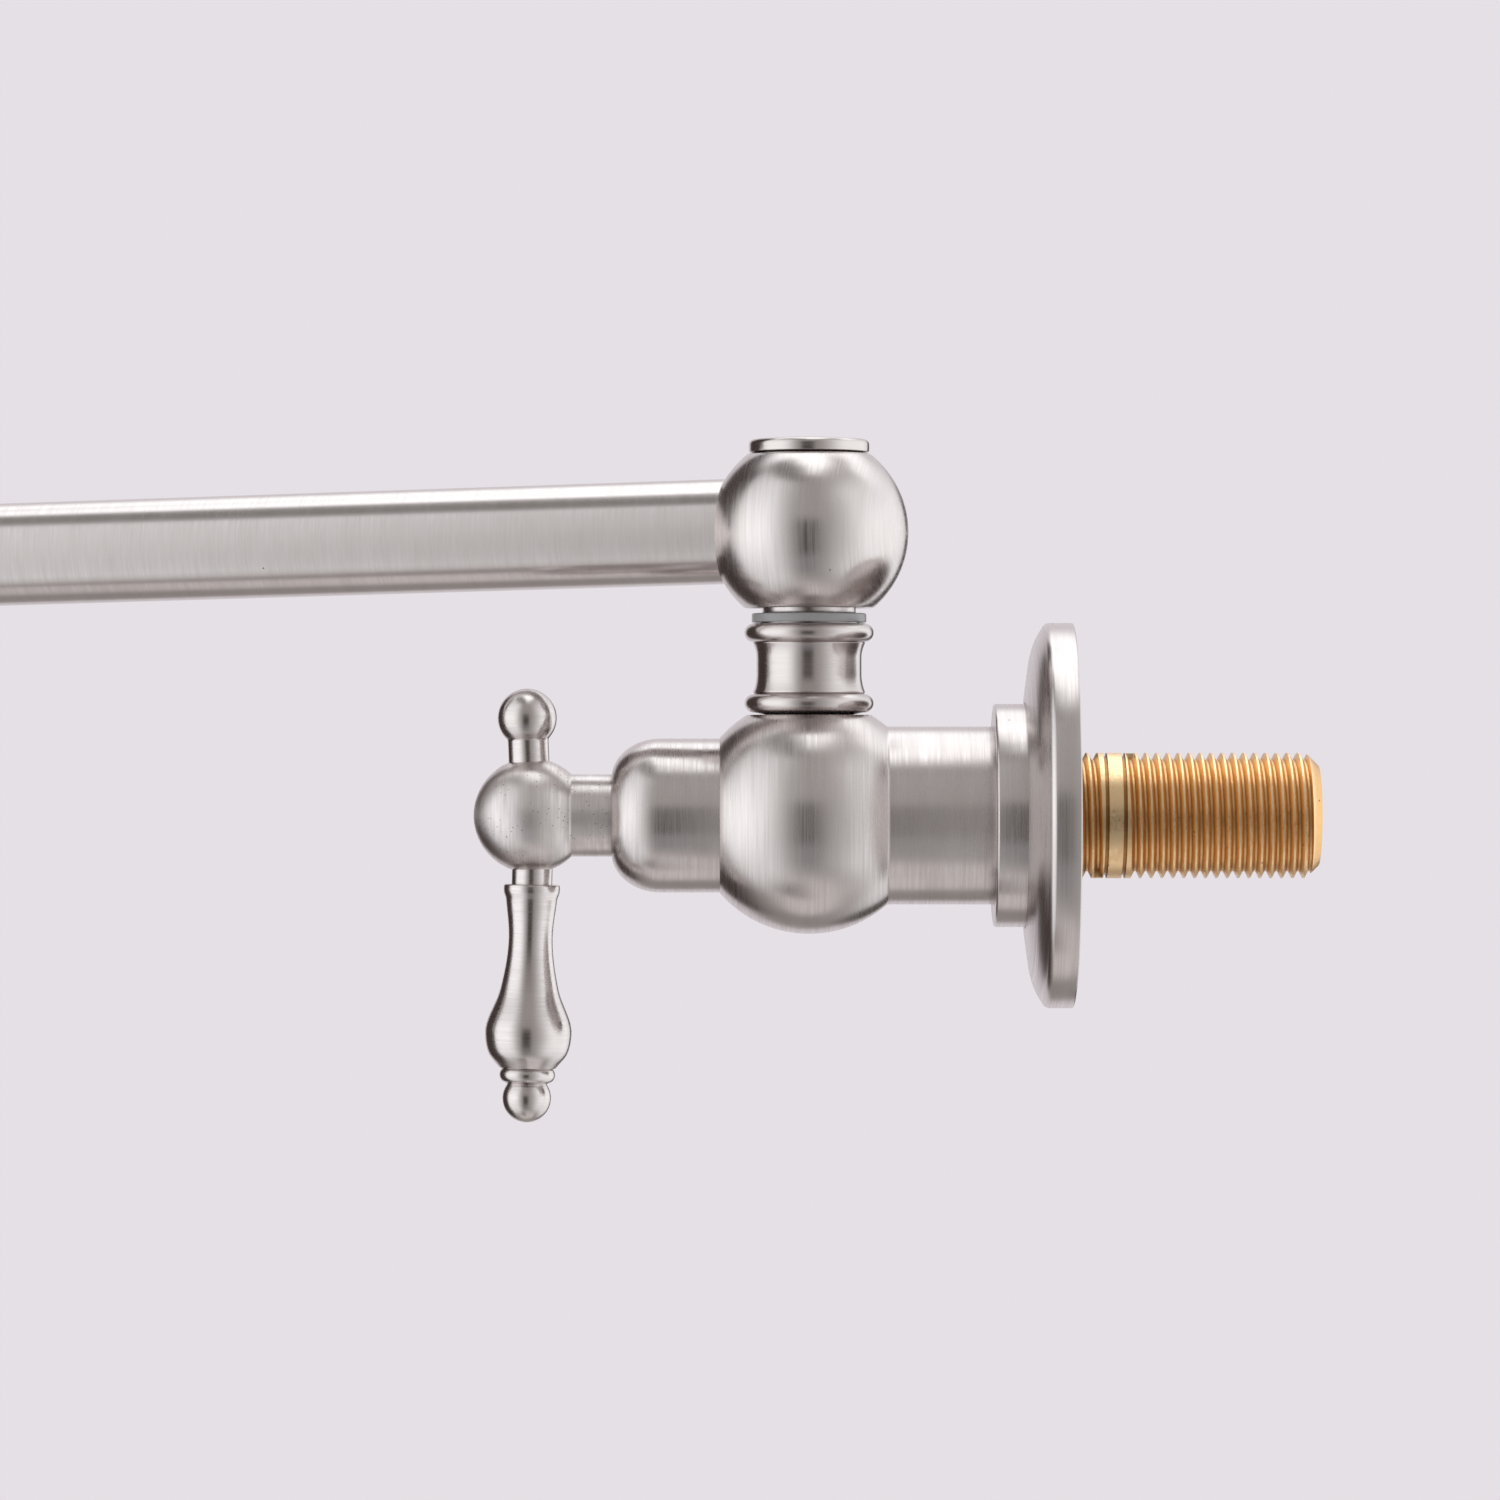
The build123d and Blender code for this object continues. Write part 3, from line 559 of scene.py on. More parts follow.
@dataclass(frozen=True)
class PittedMetal(Finish):
    """Cast or machined metal with small dark pits, spread evenly or in patches."""

    pit_spacing_mm: float = 9.0
    pit_mm: float = 0.16  # half the width of a pit
    pit_core: float = 0.6  # share of a pit that is fully dark
    pit_colour: str = "3A332E"
    patch_mm: float = 6.0
    patch_share: float = 1.0  # a pit shows where the patches' noise is below this
    patch_blur: float = 0.15

    def pitted(self, tree: Tree, place: Output, colour: Output) -> Output:
        """Adds the pits.

        Args:
            tree: the material's nodes.
            place: the place on the piece, in metres.
            colour: the surface's own colour.

        Returns:
            The colour with pits.
        """
        spread = {"Vector": place, "Scale": 1 / (self.pit_spacing_mm * MM)}
        away = add_node(tree, "ShaderNodeTexVoronoi", spread).outputs["Distance"]
        patches = add_node(tree, "ShaderNodeTexNoise", {"Vector": place, "Scale": 1 / (self.patch_mm * MM)})
        limits = {"From Min": self.patch_share, "From Max": self.patch_share + self.patch_blur}
        sound = add_node(tree, "ShaderNodeMapRange", {"Value": patches.outputs["Fac"], **limits})
        clear = add_node(tree, "ShaderNodeMath", {0: away, 1: sound.outputs[0]}, operation="ADD")
        edge = self.pit_mm / self.pit_spacing_mm
        limits = {"From Min": edge * self.pit_core, "From Max": edge, "To Min": 1.0, "To Max": 0.0}
        pit = add_node(tree, "ShaderNodeMapRange", {"Value": clear.outputs[0], **limits})
        colours = {"Factor": pit.outputs[0], 6: colour, 7: linear(self.pit_colour)}
        return add_node(tree, "ShaderNodeMix", colours, data_type="RGBA").outputs[2]


@dataclass(frozen=True)
class SatinNickel(PittedMetal):
    """Electroplated nickel, brushed to a satin on the lathe: a warm grey metal whose fine rings
    spread each highlight along the piece's axis and leave it streaky round the piece."""

    streak_mm: float = 0.34  # real brushing is finer; this is as coarse as it needs to be to show
    band_streaks: float = 9.0  # how many streaks wide the brush's slower bands are
    brush_roughness: float = 0.6  # of the noise that draws both
    roughness_spread: tuple[float, float] = (0.06, 0.06)
    grain_limits: tuple[float, float] = (0.3, 0.7)
    anisotropy: float = 0.65
    anisotropy_turn: float = 0.25  # of a whole turn: highlights spread across the rings
    groove_mm: float = 0.0013
    shade: str = "C7BEBB"  # the duller of its two tones
    shade_limits: tuple[float, float] = (0.72, 1.28)  # of the two noises' sum

    def surface(self, tree: Tree, place: Output) -> tuple[Output, dict]:
        """Draws the brushed rings, from the piece's own UV map, and the pits.

        Args:
            tree: the material's nodes.
            place: the place on the piece, in metres.

        Returns:
            The noise of its streaks, and what goes into the shader's sockets, by name.
        """
        rings = add_node(tree, "ShaderNodeUVMap", uv_map=RINGS).outputs["UV"]
        turn, distance, _ = add_node(tree, "ShaderNodeSeparateXYZ", {0: rings}).outputs
        angle = add_node(tree, "ShaderNodeMath", {0: turn, 1: math.tau}, operation="MULTIPLY").outputs[0]
        cosine = add_node(tree, "ShaderNodeMath", {0: angle}, operation="COSINE").outputs[0]
        sine = add_node(tree, "ShaderNodeMath", {0: angle}, operation="SINE").outputs[0]
        noises = []
        for spacing, detail in ((self.streak_mm, 4.0), (self.streak_mm * self.band_streaks, 2.0)):
            along = add_node(tree, "ShaderNodeMath", {0: distance, 1: spacing}, operation="DIVIDE").outputs[0]
            wrapped = add_node(tree, "ShaderNodeCombineXYZ", {0: cosine, 1: sine, 2: along}).outputs[0]
            noise = {"Vector": wrapped, "Scale": 1.0, "Detail": detail, "Roughness": self.brush_roughness}
            noises.append(add_node(tree, "ShaderNodeTexNoise", noise).outputs["Fac"])
        streaks, bands = noises
        uneven = add_node(tree, "ShaderNodeMath", {0: streaks, 1: bands}, operation="ADD").outputs[0]
        low, high = self.shade_limits
        dulled = add_node(tree, "ShaderNodeMapRange", {"Value": uneven, "From Min": low, "From Max": high})
        colours = {"Factor": dulled.outputs[0], 6: linear(self.colour), 7: linear(self.shade)}
        tones = add_node(tree, "ShaderNodeMix", colours, data_type="RGBA").outputs[2]
        grooves = {"Height": streaks, "Distance": self.groove_mm * MM, "Strength": 1.0}
        tangent = add_node(tree, "ShaderNodeTangent", direction_type="UV_MAP", uv_map=RINGS).outputs[0]
        return streaks, {
            "Base Color": self.pitted(tree, place, tones),
            "Normal": add_node(tree, "ShaderNodeBump", grooves).outputs[0],
            "Tangent": tangent,
            "Metallic": 1.0,
            "Anisotropic": self.anisotropy,
            "Anisotropic Rotation": self.anisotropy_turn,
        }


@dataclass(frozen=True)
class RawBrass(PittedMetal):
    """Free-cutting brass as it leaves the lathe: bright gold on the crests, with painted shade in
    the thread's roots and in the rings beside its plain band, faint tool marks and a little pitting."""

    # painted shade: the thread's roots are coloured darker than its crests
    painted_root_shade: str = "DDB17B"
    smudge_colour: str = "E2BA84"
    painted_relief_shade: str = "AD7C4A"  # painted shade in the ring on each side of the nipple's plain band
    root_mm: float = 9.35
    crest_mm: float = 10.2
    band_at_mm: float = 6.8
    relief_off_mm: float = 1.5  # from the band's middle to a ring's middle
    relief_half_mm: float = 0.32
    grain_mm: float = 0.5
    grain_height_mm: float = 0.02
    grain_strength: float = 0.6
    grain_limits: tuple[float, float] = (0.3, 0.7)
    roughness_spread: tuple[float, float] = (0.07, 0.1)
    smudge_mm: float = 4.0
    smudge_limits: tuple[float, float] = (0.45, 0.75)
    smudge_share: float = 0.6
    pit_spacing_mm: float = 3.2
    pit_mm: float = 0.2

    def surface(self, tree: Tree, place: Output) -> tuple[Output, dict]:
        """Draws crests, the painted shade in the roots and in the two rings, smudges and the pits.

        Args:
            tree: the material's nodes.
            place: the place on the piece, in metres.

        Returns:
            The noise of its grain, and what goes into the shader's sockets, by name.
        """
        sizes = (self.grain_mm, self.smudge_mm)
        noises = ({"Vector": place, "Scale": 1 / (size * MM), "Detail": 3.0} for size in sizes)
        grain, smudge = (add_node(tree, "ShaderNodeTexNoise", noise).outputs["Fac"] for noise in noises)
        low, high = self.smudge_limits
        limits = {"From Min": low, "From Max": high, "To Min": 0.0, "To Max": self.smudge_share}
        smudged = add_node(tree, "ShaderNodeMapRange", {"Value": smudge, **limits})

        # painted shade: the colour darkens from the crests' radius in to the roots' radius
        flat = {0: place, 1: (1.0, 0.0, 1.0)}
        across = add_node(tree, "ShaderNodeVectorMath", flat, operation="MULTIPLY").outputs[0]
        radius = add_node(tree, "ShaderNodeVectorMath", {0: across}, operation="LENGTH").outputs["Value"]
        limits = {"From Min": self.root_mm * MM, "From Max": self.crest_mm * MM}
        crest = add_node(tree, "ShaderNodeMapRange", {"Value": radius, **limits})

        # painted shade: a darker ring on each side of the nipple's plain band, where its reliefs are
        along = add_node(tree, "ShaderNodeSeparateXYZ", {0: place}).outputs["Y"]
        away = add_node(tree, "ShaderNodeMath", {0: along, 1: self.band_at_mm * MM}, operation="SUBTRACT")
        off = add_node(tree, "ShaderNodeMath", {0: away.outputs[0]}, operation="ABSOLUTE").outputs[0]
        ring = {0: off, 1: self.relief_off_mm * MM, 2: self.relief_half_mm * MM}
        relief = add_node(tree, "ShaderNodeMath", ring, operation="COMPARE")

        colour = linear(self.colour)
        # smudges, then painted shade in the thread's roots and in the two relief rings
        for share, start, end in (
            (smudged, None, linear(self.smudge_colour)),
            (crest, linear(self.painted_root_shade), None),
            (relief, None, linear(self.painted_relief_shade)),
        ):
            colours = {"Factor": share.outputs[0], 6: start or colour, 7: end or colour}
            colour = add_node(tree, "ShaderNodeMix", colours, data_type="RGBA").outputs[2]
        marks = {"Height": grain, "Distance": self.grain_height_mm * MM, "Strength": self.grain_strength}
        return grain, {
            "Base Color": self.pitted(tree, place, colour),
            "Normal": add_node(tree, "ShaderNodeBump", marks).outputs[0],
            "Metallic": 1.0,
        }


@dataclass(frozen=True)
class Moulded(Finish):
    """A moulded or pressed non-metal: one colour with a faint cloud in it and the fine grain of
    its mould, which breaks up the highlight."""

    cloud: str = "808080"
    cloud_mm: float = 3.0
    grain_mm: float = 0.25
    grain_height_mm: float = 0.004
    ior: float = 1.5

    def surface(self, tree: Tree, place: Output) -> tuple[Output, dict]:
        """Draws the cloud and the mould's grain.

        Args:
            tree: the material's nodes.
            place: the place on the piece, in metres.

        Returns:
            The noise of its grain, and what goes into the shader's sockets, by name.
        """
        noises = (
            {"Vector": place, "Scale": 1 / (self.cloud_mm * MM), "Detail": 4.0},
            {"Vector": place, "Scale": 1 / (self.grain_mm * MM), "Detail": 2.0},
        )
        cloud, grain = (add_node(tree, "ShaderNodeTexNoise", noise).outputs["Fac"] for noise in noises)
        colours = {"Factor": cloud, 6: linear(self.colour), 7: linear(self.cloud)}
        skin = {"Height": grain, "Distance": self.grain_height_mm * MM, "Strength": 1.0}
        return grain, {
            "Base Color": add_node(tree, "ShaderNodeMix", colours, data_type="RGBA").outputs[2],
            "Normal": add_node(tree, "ShaderNodeBump", skin).outputs[0],
            "IOR": self.ior,
        }


@dataclass(frozen=True)
class DrawnSteel(Finish):
    """Stainless steel, drawn and stamped: a cool grey metal with short fine scratches."""

    scratch_mm: float = 0.2
    stretch: tuple[float, float, float] = (1.0, 1.0, 0.15)
    roughness_spread: tuple[float, float] = (0.1, 0.1)

    def surface(self, tree: Tree, place: Output) -> tuple[Output, dict]:
        """Draws the scratches.

        Args:
            tree: the material's nodes.
            place: the place on the piece, in metres.

        Returns:
            The noise of its scratches, and what goes into the shader's sockets, by name.
        """
        stretched = add_node(tree, "ShaderNodeMapping", {"Vector": place, "Scale": self.stretch}).outputs[0]
        noise = {"Vector": stretched, "Scale": 1 / (self.scratch_mm * MM), "Detail": 3.0}
        scratches = add_node(tree, "ShaderNodeTexNoise", noise).outputs["Fac"]
        return scratches, {"Metallic": 1.0}


@dataclass(frozen=True)
class Finishes:
    """The finishes of the whole tap."""

    # bodies, bonnets, flange and spout: wide soft bands of light
    nickel: Finish = SatinNickel("satin_brushed_nickel", Slot.NICKEL, "D1C9C7", 0.275)
    # swivel balls, finials and levers: the same with crisper bands
    fine: Finish = SatinNickel("fine_brushed_nickel", Slot.NICKEL, "CFC7C5", 0.245)
    # hubs, polished least of all: dull, with casting pits in patches
    cast: Finish = SatinNickel(
        "cast_brushed_nickel",
        Slot.NICKEL,
        "DED6D4",
        0.36,
        groove_mm=0.002,
        pit_spacing_mm=0.7,
        pit_mm=0.11,
        patch_share=0.53,
    )
    # drawn tubes: clear straight bands of light
    drawn: Finish = SatinNickel(
        "satin_drawn_nickel",
        Slot.NICKEL,
        "D1C9C7",
        0.23,
        roughness_spread=(0.03, 0.03),
        groove_mm=0.0006,
        shade="CAC2BF",
    )
    # necks and caps: nearly polished, so that their beads mirror the room
    trim: Finish = SatinNickel(
        "satin_polished_nickel",
        Slot.NICKEL,
        "CAC1BF",
        0.25,
        roughness_spread=(0.03, 0.03),
        anisotropy=0.85,
        groove_mm=0.0008,
    )
    # bright gold crests over brown roots
    brass: Finish = RawBrass("machined_brass", Slot.BRASS, "FBD8A9", 0.34)
    # a light grey with a low sheen
    nylon: Finish = Moulded("moulded_nylon", Slot.NYLON, "9F9D9D", 0.3, cloud="969494", ior=1.53)
    # near black and matt
    rubber: Finish = Moulded("moulded_epdm_rubber", Slot.RUBBER, "1C1C1D", 0.7, cloud="262627", ior=1.52)
    # a cool grey with fine scratches
    steel: Finish = DrawnSteel("drawn_stainless_steel", Slot.STAINLESS, "C9CACB", 0.3)
    # white, lapped flat: a sharp gloss
    ceramic: Finish = Moulded("lapped_alumina", Slot.CERAMIC, "F0EFE9", 0.18, cloud="E6E4DC", ior=1.76)
    # white with a waxy sheen
    acetal: Finish = Moulded("moulded_acetal", Slot.ACETAL, "E4E4E0", 0.38, cloud="DADAD5", ior=1.48)

    def by_slot(self) -> dict[str, Finish]:
        """The usual finish of each of the record's slots."""
        usual = (self.nickel, self.brass, self.nylon, self.rubber, self.steel, self.ceramic, self.acetal)
        return {finish.slot.value: finish for finish in usual}


@dataclass(frozen=True)
class TubeSocket:
    """Blind hole in a ball, which an arm tube sits in."""

    towards: Matrix
    ball_r: float
    floor: float = TUBE_SEAT
    radius: float = 8.82
    reach: float = 1.0  # how far its cutter stands out of the ball

    def cutter(self) -> Mesh:
        """Shapes what it takes out of the ball."""
        side = Outline(0.0, self.floor).across(self.radius).along(self.ball_r + self.reach)
        return side.across(0.0).turn()


class Workshop:
    """Makes meshes into pieces of the frame and dresses them."""

    def __init__(self, frame: dict, finishes: Finishes) -> None:
        """Readies the workshop.

        Args:
            finishes: the finishes to use.
        """
        self.frame = frame
        self.finishes = finishes
        self.built: dict[str, bpy.types.Material] = {}

    def material(self, finish: Finish) -> bpy.types.Material:
        """Looks up the material of a finish, and makes it the first time.

        Args:
            finish: the finish.

        Returns:
            Its material.
        """
        if finish.name not in self.built:
            self.built[finish.name] = finish.build()
        return self.built[finish.name]

    def as_object(self, name: str, mesh: Mesh, place: Matrix) -> bpy.types.Object:
        """Stands a mesh, which gets used up, in its place as an object at the origin."""
        mesh.transform(place)
        return into_scene(name, mesh_data(name, mesh))

    def bore(self, thing: bpy.types.Object, socket: TubeSocket) -> None:
        """Cuts a socket out of an object.

        Args:
            thing: what gets the socket.
            socket: the socket.
        """
        cutter = self.as_object("socket", socket.cutter(), socket.towards)
        cut = thing.modifiers.new("bore", "BOOLEAN")
        cut.operation = "DIFFERENCE"
        cut.solver = "EXACT"
        cut.object = cutter
        evaluated = thing.evaluated_get(bpy.context.evaluated_depsgraph_get())
        bored = bpy.data.meshes.new_from_object(evaluated)
        thing.modifiers.clear()
        thing.data = bored
        bpy.data.objects.remove(cutter)

    def piece(
        self, node: str, mesh: Mesh, place: Matrix, finish: Finish, socket: TubeSocket | None = None
    ) -> None:
        """Makes a turned mesh the visible piece of a node.

        Args:
            node: the frame's node that it stands for.
            mesh: its mesh, in its own millimetres.
            place: the matrix from there to the frame.
            finish: what it is made of.
            socket: the socket that it has for an arm tube.
        """
        thing = self.as_object(f"{node}_turned", mesh, place)
        if socket:
            self.bore(thing, socket)
        thing.data.materials.clear()
        thing.data.materials.append(self.material(finish))
        thing.data.shade_smooth()
        thing.data.set_sharp_from_angle(angle=SHARP_ANGLE)
        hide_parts(node)
        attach(thing, self.frame["nodes"][node]["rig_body"])
        LOG.info("%s stands for %s with %d faces", thing.name, node, len(thing.data.polygons))

    def finish_inner_nodes(self) -> None:
        """Gives every node that still shows its finish."""
        usual = self.finishes.by_slot()
        slots = {part["node"]: part["material_slot"] for part in self.frame["record"]["subparts"]}
        for name, node in self.frame["nodes"].items():
            if node.hide_render:
                continue
            finish = usual[slots[name]]
            for socket in node.material_slots:
                socket.material = self.material(finish)
            LOG.info("%s keeps its mesh, in %s", name, finish.name)


# --- sub-assemblies -------------------------------------------------------------------------
@dataclass(frozen=True)
class Spool:
    """The waisted neck with a bead at each end. Heights are above its base."""

    height: float = 15.25
    foot_r: float = 7.1  # the foot slopes up from here, and the wedge-shaped gap is a dark line
    foot_gap: float = 0.4
    bead_r: float = 9.1
    bead_top: float = 3.46
    bead_bulge: float = 1.68
    flare_r: float = 9.4
    flares: tuple[float, float] = (3.75, 12.0)
    flare_sags: tuple[float, float] = (-0.16, -0.11)
    waist_r: float = 8.77
    waist: tuple[float, float] = (6.83, 9.84)
    waist_edge: float = 0.5
    top_bead_r: float = 9.25
    top_bead: float = 12.15
    top_bead_bulge: float = 1.55

    def draw(self, outline: Outline, base: float) -> Outline:
        """Draws its outside upwards.

        Args:
            outline: the outline, whose pen is at the base, inside the foot.
            base: height of the base.

        Returns:
            The outline.
        """
        return (
            outline.across(self.foot_r)
            .line(self.bead_r, base + self.foot_gap)
            .arc(self.bead_r, base + self.bead_top, self.bead_bulge)
            .line(self.flare_r, base + self.flares[0], CRISP)
            .arc(self.waist_r, base + self.waist[0], self.flare_sags[0], self.waist_edge)
            .line(self.waist_r, base + self.waist[1], self.waist_edge)
            .arc(self.flare_r, base + self.flares[1], self.flare_sags[1], CRISP)
            .line(self.top_bead_r, base + self.top_bead)
            .arc(self.top_bead_r, base + self.height, self.top_bead_bulge)
        )


@dataclass(frozen=True)
class WallEnd:
    """Flange and collar round the tail, drawn with height towards the wall."""

    flange_r: float = 32.15
    flange_side: float = -4.1
    flange_edge: tuple[float, float] = (31.3, -5.1)
    flange_shoulder: tuple[float, float] = (26.3, -7.12)
    flange_top: float = -8.09
    flange_bulges: tuple[float, float, float] = (0.04, 0.316, 0.167)  # top, dome and edge
    flange_bore_r: float = 14.6
    recess_r: float = 28.6
    recess: float = 3.0
    counterbore_r: float = 18.95
    counterbore_floor: float = -7.1
    collar_r: float = 18.63
    collar_front: float = -13.2
    collar_edge: float = 0.4
    collar_bore_r: float = 14.87
    collar_thread_r: float = 14.22
    collar_thread: float = -10.0

    def flange(self) -> Mesh:
        """Shapes the domed plate.

        Returns:
            Its mesh, in millimetres.
        """
        top, dome, edge = self.flange_bulges
        return (
            Outline(self.flange_bore_r, -self.recess)
            .along(self.counterbore_floor)
            .across(self.counterbore_r)
            .along(self.flange_top, SOFT)
            .arc(*self.flange_shoulder, top)
            .arc(*self.flange_edge, dome)
            .arc(self.flange_r, self.flange_side, edge)
            .line(self.flange_r, 0.0, SOFT)
            .across(self.recess_r, FINE)
            .along(-self.recess)
            .close()
            .turn()
        )

    def collar(self) -> Mesh:
        """Shapes the ring that clamps the plate.

        Returns:
            Its mesh, in millimetres.
        """
        return (
            Outline(self.collar_thread_r, self.counterbore_floor)
            .along(self.collar_thread)
            .across(self.collar_bore_r)
            .along(self.collar_front, EASED)
            .across(self.collar_r, self.collar_edge)
            .along(self.counterbore_floor)
            .close()
            .turn()
        )

    def build(self, shop: Workshop) -> None:
        """Builds and dresses its pieces, which stand at the origin and face the wall.

        Args:
            shop: the workshop.
        """
        place = stand(Vector((0, 0, 0)), Vector((0, 1, 0)), Vector((1, 0, 0)))
        shop.piece("wall_flange", self.flange(), place, shop.finishes.nickel)
        shop.piece("flange_collar", self.collar(), place, shop.finishes.nickel)


@dataclass(frozen=True)
class ShutOffValve:
    """Ball valve with its bonnet and handle. Height runs forward from the ball's centre to
    the handle, and y is up."""

    prefix: str
    place: Matrix
    neck_side: float  # 1 where the neck stands on top of the ball, -1 where it hangs below
    ball_r: float = 19.75
    neck_seat: float = 16.8
    mouth: float = 22.0
    mouth_r: float = 11.0
    chamber_r: float = 9.0
    chamber_floor: float = -6.0
    tail_r: float = 14.85
    tail_end: float = -43.2
    tail_thread_r: float = 14.2
    tail_thread: float = -34.0
    nipple_socket_r: float = 9.92
    nipple_socket: float = -27.8
    inlet_r: float = 5.0
    inlet_depth: float = 2.0
    bonnet_r: float = 12.85
    bonnet_gap: float = 0.1
    bonnet_back: float = 14.6
    bonnet_front: float = 33.0
    bonnet_floor: float = 27.5
    nose_length: float = 8.2
    nose_height: float = 6.7
    stem_hole_r: float = 7.15
    stem_r: float = 6.85
    stem_back: float = 30.9
    spindle_hole_r: float = 4.0
    spindle_hole_end: float = 50.4
    hub_r: float = 9.6
    hub_at: float = 46.4
    seat: float = 8.6  # from the hub's centre to the foot of the finial's or the lever's neck
    neck_r: float = 3.4
    finial_lean: float = 2.3  # degrees
    finial_r: float = 4.93
    finial_at: float = 16.28
    finial_stud: tuple[float, float] = (2.0, 3.05)  # radius and end
    lever_lean: float = 1.4  # degrees
    lever_setback: float = 0.4
    lever_stud: tuple[float, float] = (2.5, 3.5)  # radius and end
    lever_lip_r: float = 4.7
    lever_lip: tuple[float, float] = (11.5, 12.8)
    lever_flank: tuple[tuple[float, float], ...] = (
        (4.3, 13.9),
        (3.68, 20.4),
        (4.87, 29.0),
        (7.24, 36.5),
        (6.56, 39.8),
        (4.7, 42.2),
    )
    lever_bead_r: float = 4.15
    lever_bead: tuple[float, float] = (42.2, 44.4)
    lever_bead_bulge: float = 0.5
    lever_neck_r: float = 3.3
    lever_tip_r: float = 4.06
    lever_tip_at: float = 47.2

    def chamber(self) -> Outline:
        """Starts a body's outline in its chamber and takes it out over the front neck.

        Returns:
            The outline, with its pen on the ball.
        """
        seat_r = self.bonnet_r + self.bonnet_gap
        return (
            Outline(self.chamber_r, self.chamber_floor)
            .along(self.mouth)
            .across(self.mouth_r)
            .along(self.bonnet_back)
            .across(seat_r)
            .along(height_on_ball(self.ball_r, seat_r), FINE)
        )

    def finish_body(self, outline: Outline) -> Mesh:
        """Turns a body and cuts the flat that the neck sits on."""
        mesh = outline.across(self.inlet_r).along(self.chamber_floor).close().turn()
        return slice_flat(mesh, self.neck_side * self.neck_seat, FINE)

    def body_with_tail(self) -> Mesh:
        """Shapes the ball and the tail that reaches into the wall.

        Returns:
            Its mesh, in millimetres.
        """
        return self.finish_body(
            self.chamber()
            .ball(0.0, self.tail_r, -height_on_ball(self.ball_r, self.tail_r), ROUND)
            .line(self.tail_r, self.tail_thread, EASED)
            .across(self.tail_thread_r)
            .along(self.tail_end, ROUND)
            .across(self.nipple_socket_r)
            .along(self.nipple_socket)
        )

    def body_alone(self) -> Mesh:
        """Shapes the ball that an arm tube arrives at."""
        back = self.chamber().ball(0.0, 0.0, -self.ball_r)
        return self.finish_body(back.line(0.0, self.chamber_floor - self.inlet_depth))

    def bonnet(self) -> Mesh:
        """Shapes the rounded cover in front of the ball.

        Returns:
            Its mesh, in millimetres.
        """
        nose_start = self.bonnet_front - self.nose_length
        nose_r = self.bonnet_r - self.nose_height
        reach = math.acos((self.stem_hole_r - nose_r) / self.nose_height)
        return (
            Outline(self.mouth_r + THREAD_GAP, self.bonnet_floor)
            .along(self.bonnet_back)
            .across(self.bonnet_r, SOFT)
            .along(nose_start)
            .oval((nose_r, nose_start), self.nose_length / self.nose_height, reach, EASED)
            .line(self.stem_hole_r, self.bonnet_floor)
            .close()
            .turn()
        )

    def hub(self) -> Mesh:
        """Shapes the handle's ball and its stem.

        Returns:
            Its mesh, in millimetres.
        """
        return (
            Outline(0.0, self.spindle_hole_end)
            .across(self.spindle_hole_r)
            .along(self.stem_back)
            .across(self.stem_r, EASED)
            .along(self.hub_at - height_on_ball(self.hub_r, self.stem_r), SOFT)
            .ball(self.hub_at, 0.0, self.hub_at + self.hub_r)
            .turn()
        )

    def stud(self, radius: float, end: float) -> Outline:
        """Starts the outline of a handle part: its stud in the hub and the foot of its neck."""
        return Outline(0.0, end).across(radius).along(self.seat).across(self.neck_r)

    def finial(self) -> Mesh:
        """Shapes the small ball on its neck.

        Returns:
            Its mesh, in millimetres.
        """
        return (
            self.stud(*self.finial_stud)
            .along(self.finial_at - height_on_ball(self.finial_r, self.neck_r), SOFT)
            .ball(self.finial_at, 0.0, self.finial_at + self.finial_r)
            .turn(SMALL_TURN_STEPS)
        )

    def lever(self) -> Mesh:
        """Shapes the drop lever, from its stud to its tip.

        Returns:
            Its mesh, in millimetres.
        """
        lip_start, lip_end = self.lever_lip
        bead_start, bead_end = self.lever_bead
        tip_start = self.lever_tip_at - height_on_ball(self.lever_tip_r, self.lever_neck_r)
        return (
            self.stud(*self.lever_stud)
            .along(lip_start)
            .across(self.lever_lip_r, ROUND)
            .along(lip_end, ROUND)
            .line(*self.lever_flank[0], ROUND)
            .flow(self.lever_flank, FINE)
            .line(self.lever_bead_r, bead_start)
            .arc(self.lever_bead_r, bead_end, self.lever_bead_bulge)
            .line(self.lever_neck_r, tip_start, CRISP)
            .ball(self.lever_tip_at, 0.0, self.lever_tip_at + self.lever_tip_r)
            .turn(SMALL_TURN_STEPS)
        )

    def leaning(self, degrees: float, setback: float = 0.0) -> Matrix:
        """Place of a handle part: turned from forward about x, and set back from the hub's centre."""
        hub = Matrix.Translation((0.0, 0.0, self.hub_at - setback))
        return self.place @ hub @ Matrix.Rotation(math.radians(degrees), 4, "X")

    def build(self, shop: Workshop) -> None:
        """Builds and dresses the pieces that both valves share.

        Args:
            shop: the workshop.
        """
        upwards = self.leaning(self.finial_lean - 90.0)
        downwards = self.leaning(90.0 - self.lever_lean, self.lever_setback)
        shop.piece(f"{self.prefix}_bonnet", self.bonnet(), self.place, shop.finishes.nickel)
        shop.piece(f"{self.prefix}_handle_hub", self.hub(), self.place, shop.finishes.cast)
        shop.piece(f"{self.prefix}_handle_finial", self.finial(), upwards, shop.finishes.fine)
        shop.piece(f"{self.prefix}_handle_lever", self.lever(), downwards, shop.finishes.fine)


